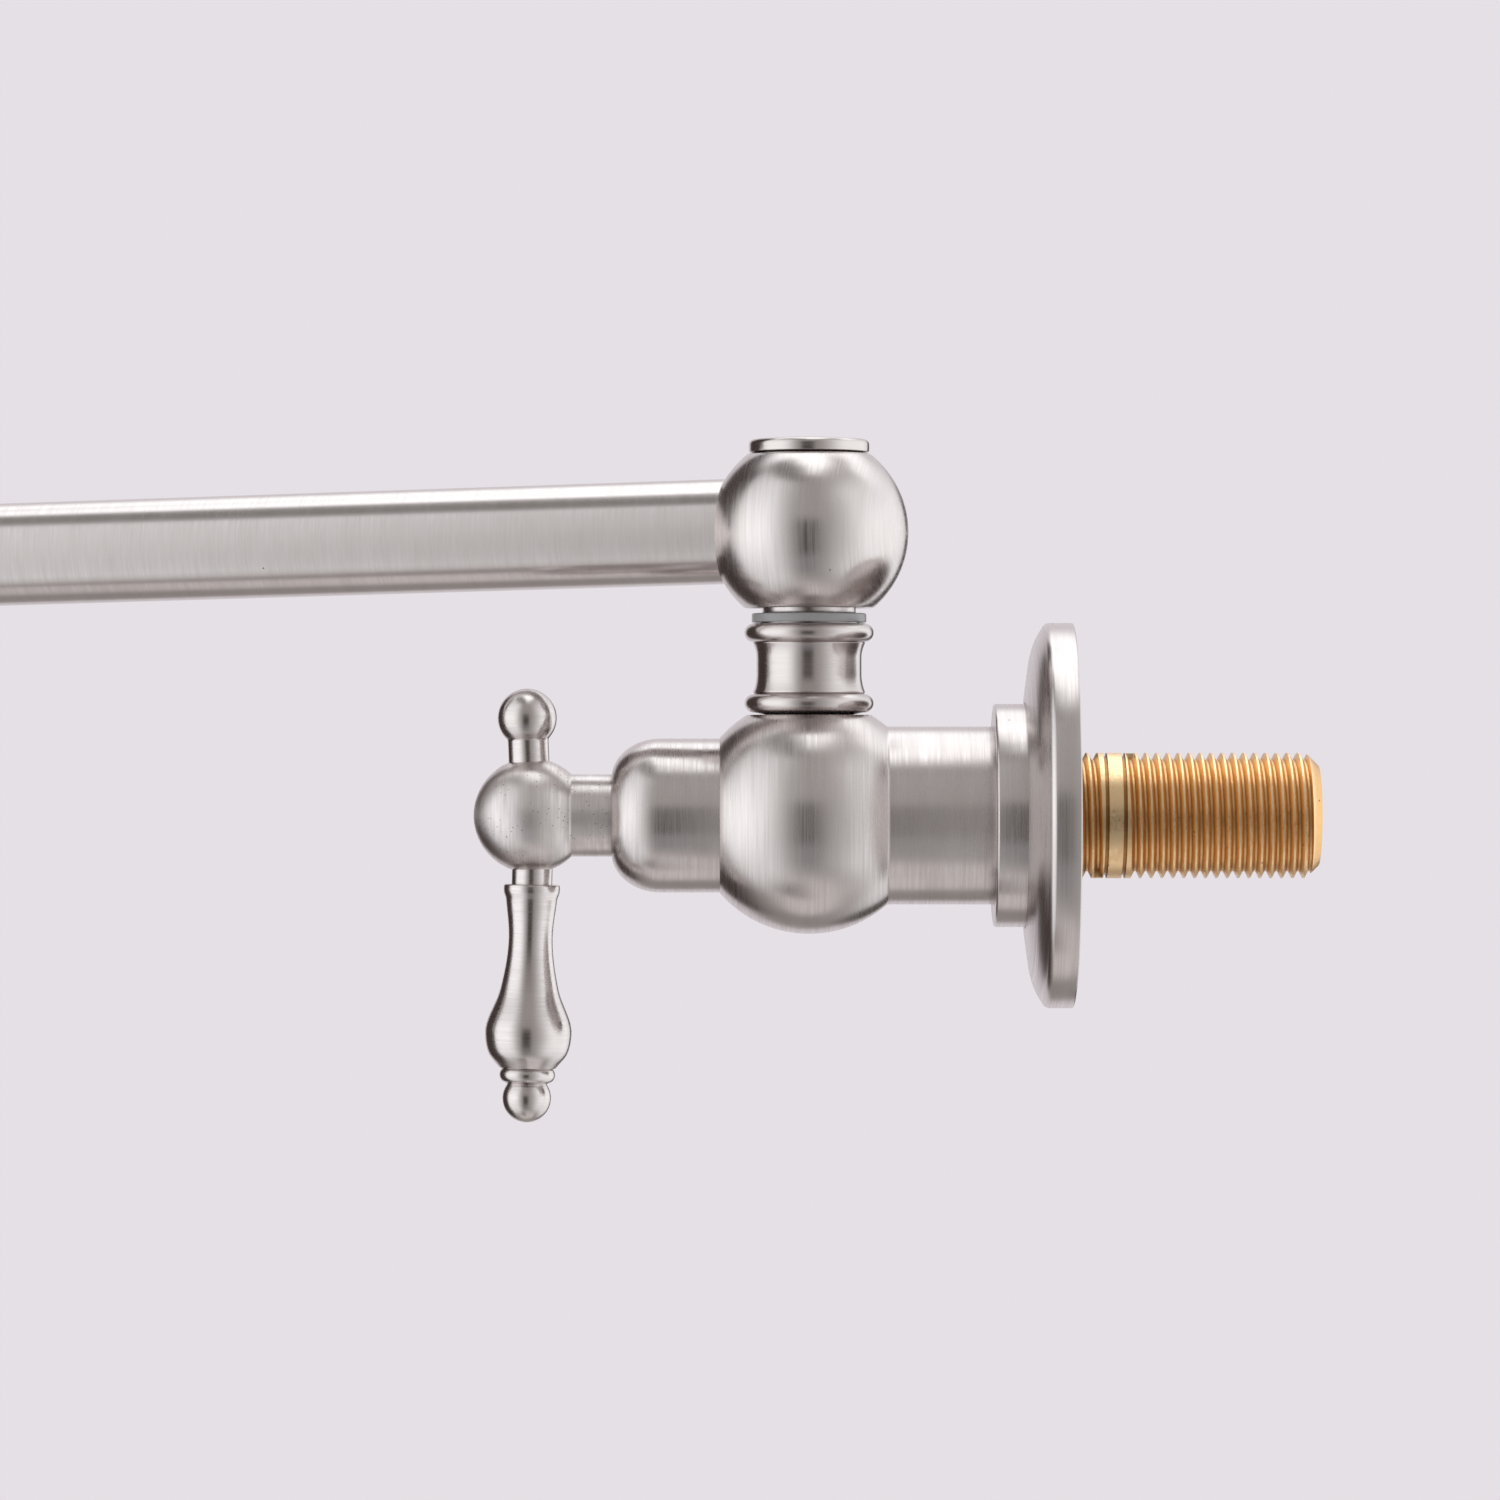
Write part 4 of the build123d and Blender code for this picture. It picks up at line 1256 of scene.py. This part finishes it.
@dataclass(frozen=True)
class ArmTube:
    """Round tube that falls a little towards the outlet. x runs along the arm, z is up."""

    node: str
    place: Matrix
    slope: float  # radians
    end: float
    start: float = TUBE_SEAT
    radius: float = 8.8
    bore_r: float = 7.3

    def build(self, shop: Workshop) -> None:
        """Builds and dresses the tube.

        Args:
            shop: the workshop.
        """
        wall = Outline(self.bore_r, self.end).along(self.start).across(self.radius).along(self.end)
        place = self.place @ arm_axis(self.slope, TubeSide.LEAVES)
        shop.piece(self.node, wall.close().turn(), place, shop.finishes.drawn)


@dataclass(frozen=True)
class Swivel:
    """Ball that turns on a post above a beaded neck. Height is up from the ball's centre and
    x runs along the arm."""

    prefix: str
    place: Matrix
    slope: float  # radians
    tube_side: TubeSide
    ball_r: float = 16.6
    top: float = 13.1
    flat: float = -12.65
    boss_r: float = 7.8
    boss_end: float = -13.5
    cavity_r: float = 12.2
    cavity: tuple[float, float] = (-6.0, 5.2)
    shoulder: float = 8.5
    post_r: float = 6.5
    post_gap: float = 0.05
    post_top: float = 8.6
    post_foot: float = -37.5
    port_r: float = 4.25
    port_top: float = 3.3
    screw_hole_r: float = 2.02
    screw_hole: float = 4.6
    spool_base: float = -30.5
    land_r: float = 8.27
    washer_r: float = 9.57
    washer_bore_r: float = 6.6
    washer: tuple[float, float] = (-15.05, -13.55)
    cap_r: float = 10.07
    cap_thread_r: float = 8.2
    cap_thread: float = 2.2
    cap_side: float = 1.55
    cap_top: float = 2.8
    cap_crown: float = 0.45
    cap_edge: float = 0.8
    cap_bulges: tuple[float, float] = (0.23, 0.12)  # rim and crown
    cap_undercut: float = 1.5  # its underside slopes up over this width, for a dark line
    cap_gap: float = 0.3

    def ball(self) -> Mesh:
        """Shapes the ball with its bore, which the lathe brushed about the arm's axis.

        Returns:
            Its mesh, in millimetres.
        """
        bore_r = self.post_r + self.post_gap
        low, high = self.cavity
        return brush_along_arm(
            Outline(self.cap_thread_r + THREAD_GAP, self.shoulder)
            .along(self.top)
            .across(height_on_ball(self.ball_r, self.top), EASED)
            .ball(0.0, height_on_ball(self.ball_r, self.flat), self.flat, SOFT)
            .line(self.boss_r, self.flat)
            .along(self.boss_end, CRISP)
            .across(bore_r)
            .along(low)
            .across(height_on_ball(self.cavity_r, low))
            .ball(0.0, height_on_ball(self.cavity_r, high), high)
            .line(bore_r, high)
            .along(self.shoulder)
            .close()
            .turn()
        )

    def neck(self) -> Mesh:
        """Shapes the beaded neck in one piece with its threaded foot and its post.

        Returns:
            Its mesh, in millimetres.
        """
        inside = Outline(0.0, self.port_top).across(self.port_r).along(self.post_foot)
        return (
            Spool()
            .draw(inside.across(self.post_r).along(self.spool_base), self.spool_base)
            .line(self.land_r, self.spool_base + Spool.height)
            .along(self.washer[0])
            .across(self.post_r)
            .along(self.post_top)
            .across(self.screw_hole_r)
            .along(self.screw_hole)
            .across(0.0)
            .turn()
        )

    def thrust_washer(self) -> Mesh:
        """Shapes the washer between neck and ball.

        Returns:
            Its mesh, in millimetres.
        """
        bottom, top = self.washer
        ring = Outline(self.washer_bore_r, top).along(bottom)
        return ring.across(self.washer_r, FINE).along(top, SOFT).close().turn()

    def cap(self) -> Mesh:
        """Shapes the screwed cap on top of the ball.

        Returns:
            Its mesh, in millimetres.
        """
        rim_bulge, crown_bulge = self.cap_bulges
        return (
            Outline(0.0, self.top)
            .across(self.post_r)
            .along(self.top - self.cap_thread)
            .across(self.cap_thread_r)
            .along(self.top)
            .across(self.cap_r - self.cap_undercut)
            .line(self.cap_r, self.top + self.cap_gap, FINE)
            .along(self.top + self.cap_side)
            .arc(self.cap_r - self.cap_edge, self.top + self.cap_top - self.cap_crown, rim_bulge, EASED)
            .arc(0.0, self.top + self.cap_top, crown_bulge)
            .turn()
        )

    def build(self, shop: Workshop) -> None:
        """Builds and dresses the swivel.

        Args:
            shop: the workshop.
        """
        socket = TubeSocket(self.place @ arm_axis(self.slope, self.tube_side), self.ball_r)
        shop.piece(f"{self.prefix}_neck", self.neck(), self.place, shop.finishes.trim)
        shop.piece(f"{self.prefix}_thrust_washer", self.thrust_washer(), self.place, shop.finishes.nylon)
        shop.piece(f"{self.prefix}_ball", self.ball(), self.place, shop.finishes.fine, socket)
        shop.piece(f"{self.prefix}_cap", self.cap(), self.place, shop.finishes.trim)


@dataclass(frozen=True)
class LowerBall:
    """The elbow's lower ball, which the outer arm leaves."""

    place: Matrix
    slope: float  # radians
    ball_r: float = 16.6
    top: float = 13.0
    socket_r: float = 6.52
    socket_floor: float = 5.7
    cavity_r: float = 11.5
    cavity_top: float = 4.2
    waterway_r: float = 5.0

    def ball(self) -> Mesh:
        """Shapes the ball round its cavity, brushed as the swivel's ball is.

        Returns:
            Its mesh, in millimetres.
        """
        return brush_along_arm(
            Outline(0.0, -self.cavity_r)
            .ball(0.0, height_on_ball(self.cavity_r, self.cavity_top), self.cavity_top)
            .line(self.waterway_r, self.cavity_top)
            .along(self.socket_floor)
            .across(self.socket_r)
            .along(self.top)
            .across(height_on_ball(self.ball_r, self.top), EASED)
            .ball(0.0, 0.0, -self.ball_r)
            .turn()
        )

    def build(self, shop: Workshop) -> None:
        """Builds and dresses the ball."""
        socket = TubeSocket(self.place @ arm_axis(self.slope, TubeSide.LEAVES), self.ball_r)
        shop.piece("elbow_lower_ball", self.ball(), self.place, shop.finishes.fine, socket)


@dataclass(frozen=True)
class Spout:
    """Beaded neck, tube and aerator under the outlet valve. Height runs down."""

    place: Matrix
    foot: float = 9.8
    foot_r: float = 6.5
    port_r: float = 4.25
    spigot_r: float = 7.2
    spigot: float = 6.0
    spigot_gap: float = 0.1
    tube_r: float = 8.8
    waterway_r: float = 6.0
    end: float = 56.0
    bell: float = 8.0
    bell_r: float = 10.3
    bell_edge: float = 0.8
    bell_sag: float = -0.35
    bell_rim: float = 1.2
    thread_r: float = 8.0
    aerator_end: float = 62.5
    aerator_thread: float = 6.5
    aerator_neck_r: float = 9.6
    aerator_neck: float = 0.5
    aerator_rim: float = 1.0
    aerator_bulge: float = 0.29
    aerator_bore_r: float = 6.6
    mouth_r: float = 7.6
    mouth: float = 3.0

    def neck(self) -> Mesh:
        """Shapes the beaded neck with its foot and spigot.

        Returns:
            Its mesh, in millimetres.
        """
        seat = ShutOffValve.neck_seat
        top = seat + Spool.height
        return (
            Spool()
            .draw(Outline(self.port_r, self.foot).across(self.foot_r).along(seat), seat)
            .line(self.spigot_r, top)
            .along(top + self.spigot)
            .across(self.port_r)
            .close()
            .turn()
        )

    def tube(self) -> Mesh:
        """Shapes the tube and its bell mouth.

        Returns:
            Its mesh, in millimetres.
        """
        top = ShutOffValve.neck_seat + Spool.height
        throat = self.end - self.bell
        return (
            Outline(self.spigot_r + THREAD_GAP, top)
            .across(self.tube_r, EASED)
            .along(throat, self.bell_edge)
            .arc(self.bell_r, self.end - self.bell_rim, self.bell_sag, ROUND)
            .line(self.bell_r, self.end, EASED)
            .across(self.thread_r)
            .along(throat)
            .across(self.waterway_r)
            .along(top + self.spigot + self.spigot_gap)
            .across(self.spigot_r + THREAD_GAP)
            .close()
            .turn()
        )

    def aerator(self) -> Mesh:
        """Shapes the aerator's housing.

        Returns:
            Its mesh, in millimetres.
        """
        thread_end = self.end - self.aerator_thread
        return (
            Outline(self.thread_r - THREAD_GAP, thread_end)
            .along(self.end)
            .across(self.aerator_neck_r)
            .along(self.end + self.aerator_neck)
            .line(self.bell_r, self.end + self.aerator_rim, FINE)
            .along(self.aerator_end - self.aerator_rim)
            .arc(self.bell_r - self.aerator_rim, self.aerator_end, self.aerator_bulge)
            .line(self.mouth_r, self.aerator_end, ROUND)
            .along(self.aerator_end - self.mouth)
            .across(self.aerator_bore_r)
            .along(thread_end)
            .close()
            .turn()
        )

    def build(self, shop: Workshop) -> None:
        """Builds and dresses the spout.

        Args:
            shop: the workshop.
        """
        shop.piece("spout_neck", self.neck(), self.place, shop.finishes.trim)
        shop.piece("spout_tube", self.tube(), self.place, shop.finishes.nickel)
        shop.piece("aerator_housing", self.aerator(), self.place, shop.finishes.nickel)


class PotFiller:
    """The whole tap: works out from the frame where each sub-assembly stands."""

    valve_tube_seat = 12.0  # millimetres from the outlet valve's centre to the end of the outer tube
    up = Vector((0.0, 0.0, 1.0))

    def __init__(self, frame: dict) -> None:
        """Reads the joints' places and axes.
        """
        self.at = {joint["name"]: Vector(joint["pos_m"]) for joint in frame["joints"]}
        self.axis = {joint["name"]: Vector(joint["axis"]) for joint in frame["joints"]}
        elbow = self.at["elbow_swivel"]
        run = elbow - self.at["shoulder_swivel"]
        level = Vector((run.x, run.y, 0.0))
        self.outward = level.normalized()
        self.slope = math.atan(-run.z / level.length)
        self.inner_reach = level.length / MM
        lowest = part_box("elbow_lower_ball")[0].z
        self.lower_ball = Vector((elbow.x, elbow.y, lowest + LowerBall.ball_r * MM))

    def valve_place(self, joint: str) -> Matrix:
        """Place of the valve whose handle turns on a joint."""
        axis = self.axis[joint].normalized()
        return stand(self.at[joint] - axis * ShutOffValve.hub_at * MM, axis, self.up.cross(axis))

    def ball_place(self, origin: Vector) -> Matrix:
        """Place of a ball on the arm."""
        return stand(origin, self.up, self.outward)

    def tube_end(self, reach: float, seat: float) -> float:
        """Where a tube ends, from the ball that it leaves, in millimetres."""
        return reach / math.cos(self.slope) - seat

    def build(self, shop: Workshop) -> None:
        """Builds every sub-assembly, from the wall to the spout.

        Args:
            shop: the workshop.
        """
        nickel = shop.finishes.nickel
        WallEnd().build(shop)

        wall_valve = ShutOffValve("wall", self.valve_place("wall_handle_turn"), 1.0)
        shop.piece("wall_valve_body", wall_valve.body_with_tail(), wall_valve.place, nickel)
        wall_valve.build(shop)

        shoulder = self.ball_place(self.at["shoulder_swivel"])
        Swivel("shoulder", shoulder, self.slope, TubeSide.LEAVES).build(shop)
        inner_end = self.tube_end(self.inner_reach, TUBE_SEAT)
        ArmTube("inner_arm_tube", shoulder, self.slope, inner_end).build(shop)

        elbow = self.ball_place(self.at["elbow_swivel"])
        Swivel("elbow", elbow, self.slope, TubeSide.ARRIVES).build(shop)
        lower = self.ball_place(self.lower_ball)
        LowerBall(lower, self.slope).build(shop)

        valve = ShutOffValve("outlet", self.valve_place("outlet_handle_turn"), -1.0)
        outlet = valve.place.to_translation()
        outer_end = self.tube_end((outlet - self.lower_ball).to_2d().length / MM, self.valve_tube_seat)
        ArmTube("outer_arm_tube", lower, self.slope, outer_end).build(shop)
        lift = Matrix.Translation((0.0, ARM_LIFT, 0.0))
        backwards = valve.place @ lift @ Matrix.Rotation(math.pi + self.slope, 4, "X")
        socket = TubeSocket(backwards, valve.ball_r, self.valve_tube_seat)
        shop.piece("outlet_valve_body", valve.body_alone(), valve.place, nickel, socket)
        valve.build(shop)
        Spout(stand(outlet, -self.up, valve.place.to_3x3().col[0].normalized())).build(shop)


# --- studio ---------------------------------------------------------------------------------
@dataclass(frozen=True)
class Panel:
    """A lit or dark patch of the room round the tap. Its angles are in degrees: azimuth from
    +X, where the camera stands, towards the wall, and elevation up from the horizon."""

    name: str
    azimuth: tuple[float, float]
    elevation: tuple[float, float]
    light: tuple[float, float, float]
    azimuth_blur: float = 6.0
    elevation_blur: float = 6.0


@dataclass(frozen=True)
class Studio:
    """Plain soft studio light, a pale floor and the camera."""

    backdrop: str = "E5E0E5"
    backdrop_from: tuple[float, float] = (-0.45, -0.7)  # x of a direction, where metal mirrors it
    table_until: tuple[float, float] = (-0.76, -0.5)  # z of a direction, below which it doesn't
    room: tuple[float, float, float] = (0.44, 0.43, 0.42)
    floor_height: float = -0.40
    floor_centre: float = -0.2  # along y
    floor_radius: float = 1.6
    floor_solid: float = 0.35  # share of the radius that doesn't fade
    floor_colour: str = "ECE3E7"
    photo_pixels: float = 1500.0
    mm_per_pixel: float = 0.167
    origin_pixel: tuple[float, float] = (1072.5, 815.5)  # the frame's origin in the photograph
    camera_distance: float = 1.035
    sensor_mm: float = 36.0
    clip_start: float = 0.05
    panels: tuple[Panel, ...] = (
        Panel("table", (-200, 200), (-100, -62), (0.84, 0.82, 0.82), elevation_blur=18),
        Panel("table_edge", (-80, -14), (-100, -66), (0.32, 0.3, 0.29), 12, 8),
        Panel("table_back", (100, 200), (-66, -36), (0.38, 0.36, 0.35), 30, 12),
        Panel("table_back_left", (-200, -100), (-66, -36), (0.38, 0.36, 0.35), 30, 12),
        Panel("left_softbox", (-101, -32), (-60, 60), (1.05, 1.1, 1.12), 40, 18),
        Panel("left_softbox_core", (-99, -42), (-30, 30), (1.6, 1.67, 1.71), 36, 60),
        Panel("right_softbox", (38, 146), (-52, 52), (1.05, 1.09, 1.11), 54, 28),
        Panel("right_softbox_core", (60, 140), (-30, 30), (1.46, 1.52, 1.55), 40, 60),
        Panel("camera_stand", (-17, 10), (-50, -22), (0.28, 0.29, 0.3), 12, 12),
        Panel("camera", (-15, 9), (-27, 13), (0.07, 0.06, 0.055), 12, 12),
        Panel("back_softbox", (100, 200), (40, 100), (1.75, 1.83, 1.87), 20, 22),
        Panel("back_softbox_left", (-200, -100), (40, 100), (1.75, 1.83, 1.87), 20, 22),
        Panel("left_gap", (-152, -100), (-50, 54), (0.07, 0.055, 0.05), 6, 16),
        Panel("right_gap", (150, 167), (-45, 12), (0.08, 0.07, 0.065), 5, 12),
        Panel("overhead_softbox", (-200, 200), (69, 100), (2.05, 2.14, 2.18), elevation_blur=11),
        Panel("overhead_edge_left", (-115, -9), (58, 80), (0.26, 0.25, 0.24), 32, 8),
        Panel("overhead_edge_right", (30, 130), (57, 73), (0.6, 0.58, 0.57), 40, 8),
    )

    def within(
        self, tree: Tree, edges: list[tuple[Output, float, float]], share: Output | None = None
    ) -> Output:
        """Keeps a layer of paint within soft edges.

        Args:
            tree: the nodes to paint with.
            edges: for each edge the value that runs across it, where the paint starts and where it is full.
            share: where the layer is painted at all; None for everywhere.

        Returns:
            1 where the paint is full at every edge, and 0 beyond any of them.
        """
        for value, start, end in edges:
            limits = {"Value": value, "From Min": start, "From Max": end}
            edge = add_node(tree, "ShaderNodeMapRange", limits, interpolation_type="SMOOTHSTEP").outputs[0]
            if share is None:
                share = edge
            else:
                share = add_node(tree, "ShaderNodeMath", {0: share, 1: edge}, operation="MULTIPLY").outputs[0]
        return share

    def mask(self, tree: Tree, panel: Panel, azimuth: Output, elevation: Output) -> Output:
        """Masks one panel out of all directions.

        Args:
            tree: the world's nodes.
            panel: the panel.
            azimuth: azimuth of the direction, in radians.
            elevation: its elevation, in radians.

        Returns:
            1 inside the panel and 0 outside, with a soft edge.
        """
        edges = []
        for angle, limits, blur in (
            (azimuth, panel.azimuth, panel.azimuth_blur),
            (elevation, panel.elevation, panel.elevation_blur),
        ):
            soft = math.radians(blur) / 2
            for limit, way in zip(limits, (1.0, -1.0)):
                edge = math.radians(limit)
                edges.append((angle, edge - way * soft, edge + way * soft))
        return self.within(tree, edges)

    def light_the_room(self) -> None:
        """Paints the panels on the world, in front of the pale backdrop that the camera sees."""
        world = bpy.data.worlds.new("studio")
        bpy.context.scene.world = world
        tree = bare_tree(world)
        direction = add_node(tree, "ShaderNodeTexCoord").outputs["Generated"]
        x, y, z = add_node(tree, "ShaderNodeSeparateXYZ", {0: direction}).outputs
        azimuth = add_node(tree, "ShaderNodeMath", {0: y, 1: x}, operation="ARCTAN2").outputs[0]
        elevation = add_node(tree, "ShaderNodeMath", {0: z}, operation="ARCSINE").outputs[0]
        path = add_node(tree, "ShaderNodeLightPath").outputs
        rays = {0: path["Is Glossy Ray"], 1: path["Is Transmission Ray"]}
        mirrored = add_node(tree, "ShaderNodeMath", rays, operation="MAXIMUM").outputs[0]
        behind = self.within(tree, [(x, *self.backdrop_from), (z, *self.table_until)], mirrored)
        pale = linear(self.backdrop)
        colour = (*self.room, 1.0)
        layers = [("mirrored_backdrop", behind, pale)]
        for panel in self.panels:
            layers.append((panel.name, self.mask(tree, panel, azimuth, elevation), (*panel.light, 1.0)))
        layers.append(("backdrop", path["Is Camera Ray"], pale))
        for name, share, paint in layers:
            colours = {"Factor": share, 6: colour, 7: paint}
            colour = add_node(tree, "ShaderNodeMix", colours, data_type="RGBA", label=name).outputs[2]
        background = add_node(tree, "ShaderNodeBackground", {"Color": colour, "Strength": 1.0})
        add_node(tree, "ShaderNodeOutputWorld", {"Surface": background.outputs[0]})

    def lay_the_floor(self) -> None:
        """Lays a round pale floor, which fades into the backdrop and shows from above only."""
        mesh = bmesh.new()
        bmesh.ops.create_circle(mesh, cap_ends=True, radius=self.floor_radius, segments=TURN_STEPS)
        bmesh.ops.translate(mesh, vec=(0.0, self.floor_centre, self.floor_height), verts=mesh.verts)
        floor = into_scene("floor", mesh_data("floor", mesh))
        material = bpy.data.materials.new("pale_floor")
        tree = bare_tree(material)
        place = add_node(tree, "ShaderNodeTexCoord").outputs["Object"]
        centred = {0: place, 1: (0.0, -self.floor_centre, 0.0)}
        centred = add_node(tree, "ShaderNodeVectorMath", centred, operation="ADD").outputs[0]
        level = {0: centred, 1: (1.0, 1.0, 0.0)}
        level = add_node(tree, "ShaderNodeVectorMath", level, operation="MULTIPLY").outputs[0]
        reach = add_node(tree, "ShaderNodeVectorMath", {0: level}, operation="LENGTH").outputs["Value"]
        fade = self.within(tree, [(reach, self.floor_radius * self.floor_solid, self.floor_radius)])
        underside = add_node(tree, "ShaderNodeNewGeometry").outputs["Backfacing"]
        unseen = add_node(tree, "ShaderNodeMath", {0: fade, 1: underside}, operation="MAXIMUM").outputs[0]
        paint = add_node(tree, "ShaderNodeBsdfDiffuse", {"Color": linear(self.floor_colour)}).outputs[0]
        clear = add_node(tree, "ShaderNodeBsdfTransparent").outputs[0]
        mixed = add_node(tree, "ShaderNodeMixShader", {0: unseen, 1: paint, 2: clear})
        add_node(tree, "ShaderNodeOutputMaterial", {"Surface": mixed.outputs[0]})
        floor.data.materials.append(material)
        floor.visible_glossy = False  # the metal reflects the room's own table

    def set_the_camera(self) -> None:
        """Sets the camera level, square to the nipple and the valve, as the photograph was taken."""
        centre = self.photo_pixels / 2
        across, down = self.origin_pixel
        aim_y = (centre - across) * self.mm_per_pixel * MM
        aim_z = (down - centre) * self.mm_per_pixel * MM
        data = bpy.data.cameras.new("camera")
        data.sensor_width = self.sensor_mm
        data.lens = self.sensor_mm * self.camera_distance / (self.photo_pixels * self.mm_per_pixel * MM)
        data.clip_start = self.clip_start
        camera = into_scene("camera", data)
        camera.location = (self.camera_distance, aim_y, aim_z)
        camera.rotation_euler = (math.pi / 2, 0.0, math.pi / 2)
        bpy.context.scene.camera = camera

    def build(self) -> None:
        """Builds the studio."""
        self.light_the_room()
        self.lay_the_floor()
        self.set_the_camera()
        bpy.context.scene.view_settings.view_transform = "Standard"


def main() -> None:
    """Builds the tap's looks and the studio round it."""
    logging.basicConfig(level=logging.INFO, format="%(message)s")
    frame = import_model()
    shop = Workshop(frame, Finishes())
    PotFiller(frame).build(shop)
    shop.finish_inner_nodes()
    Studio().build()


if __name__ == "__main__":
    main()
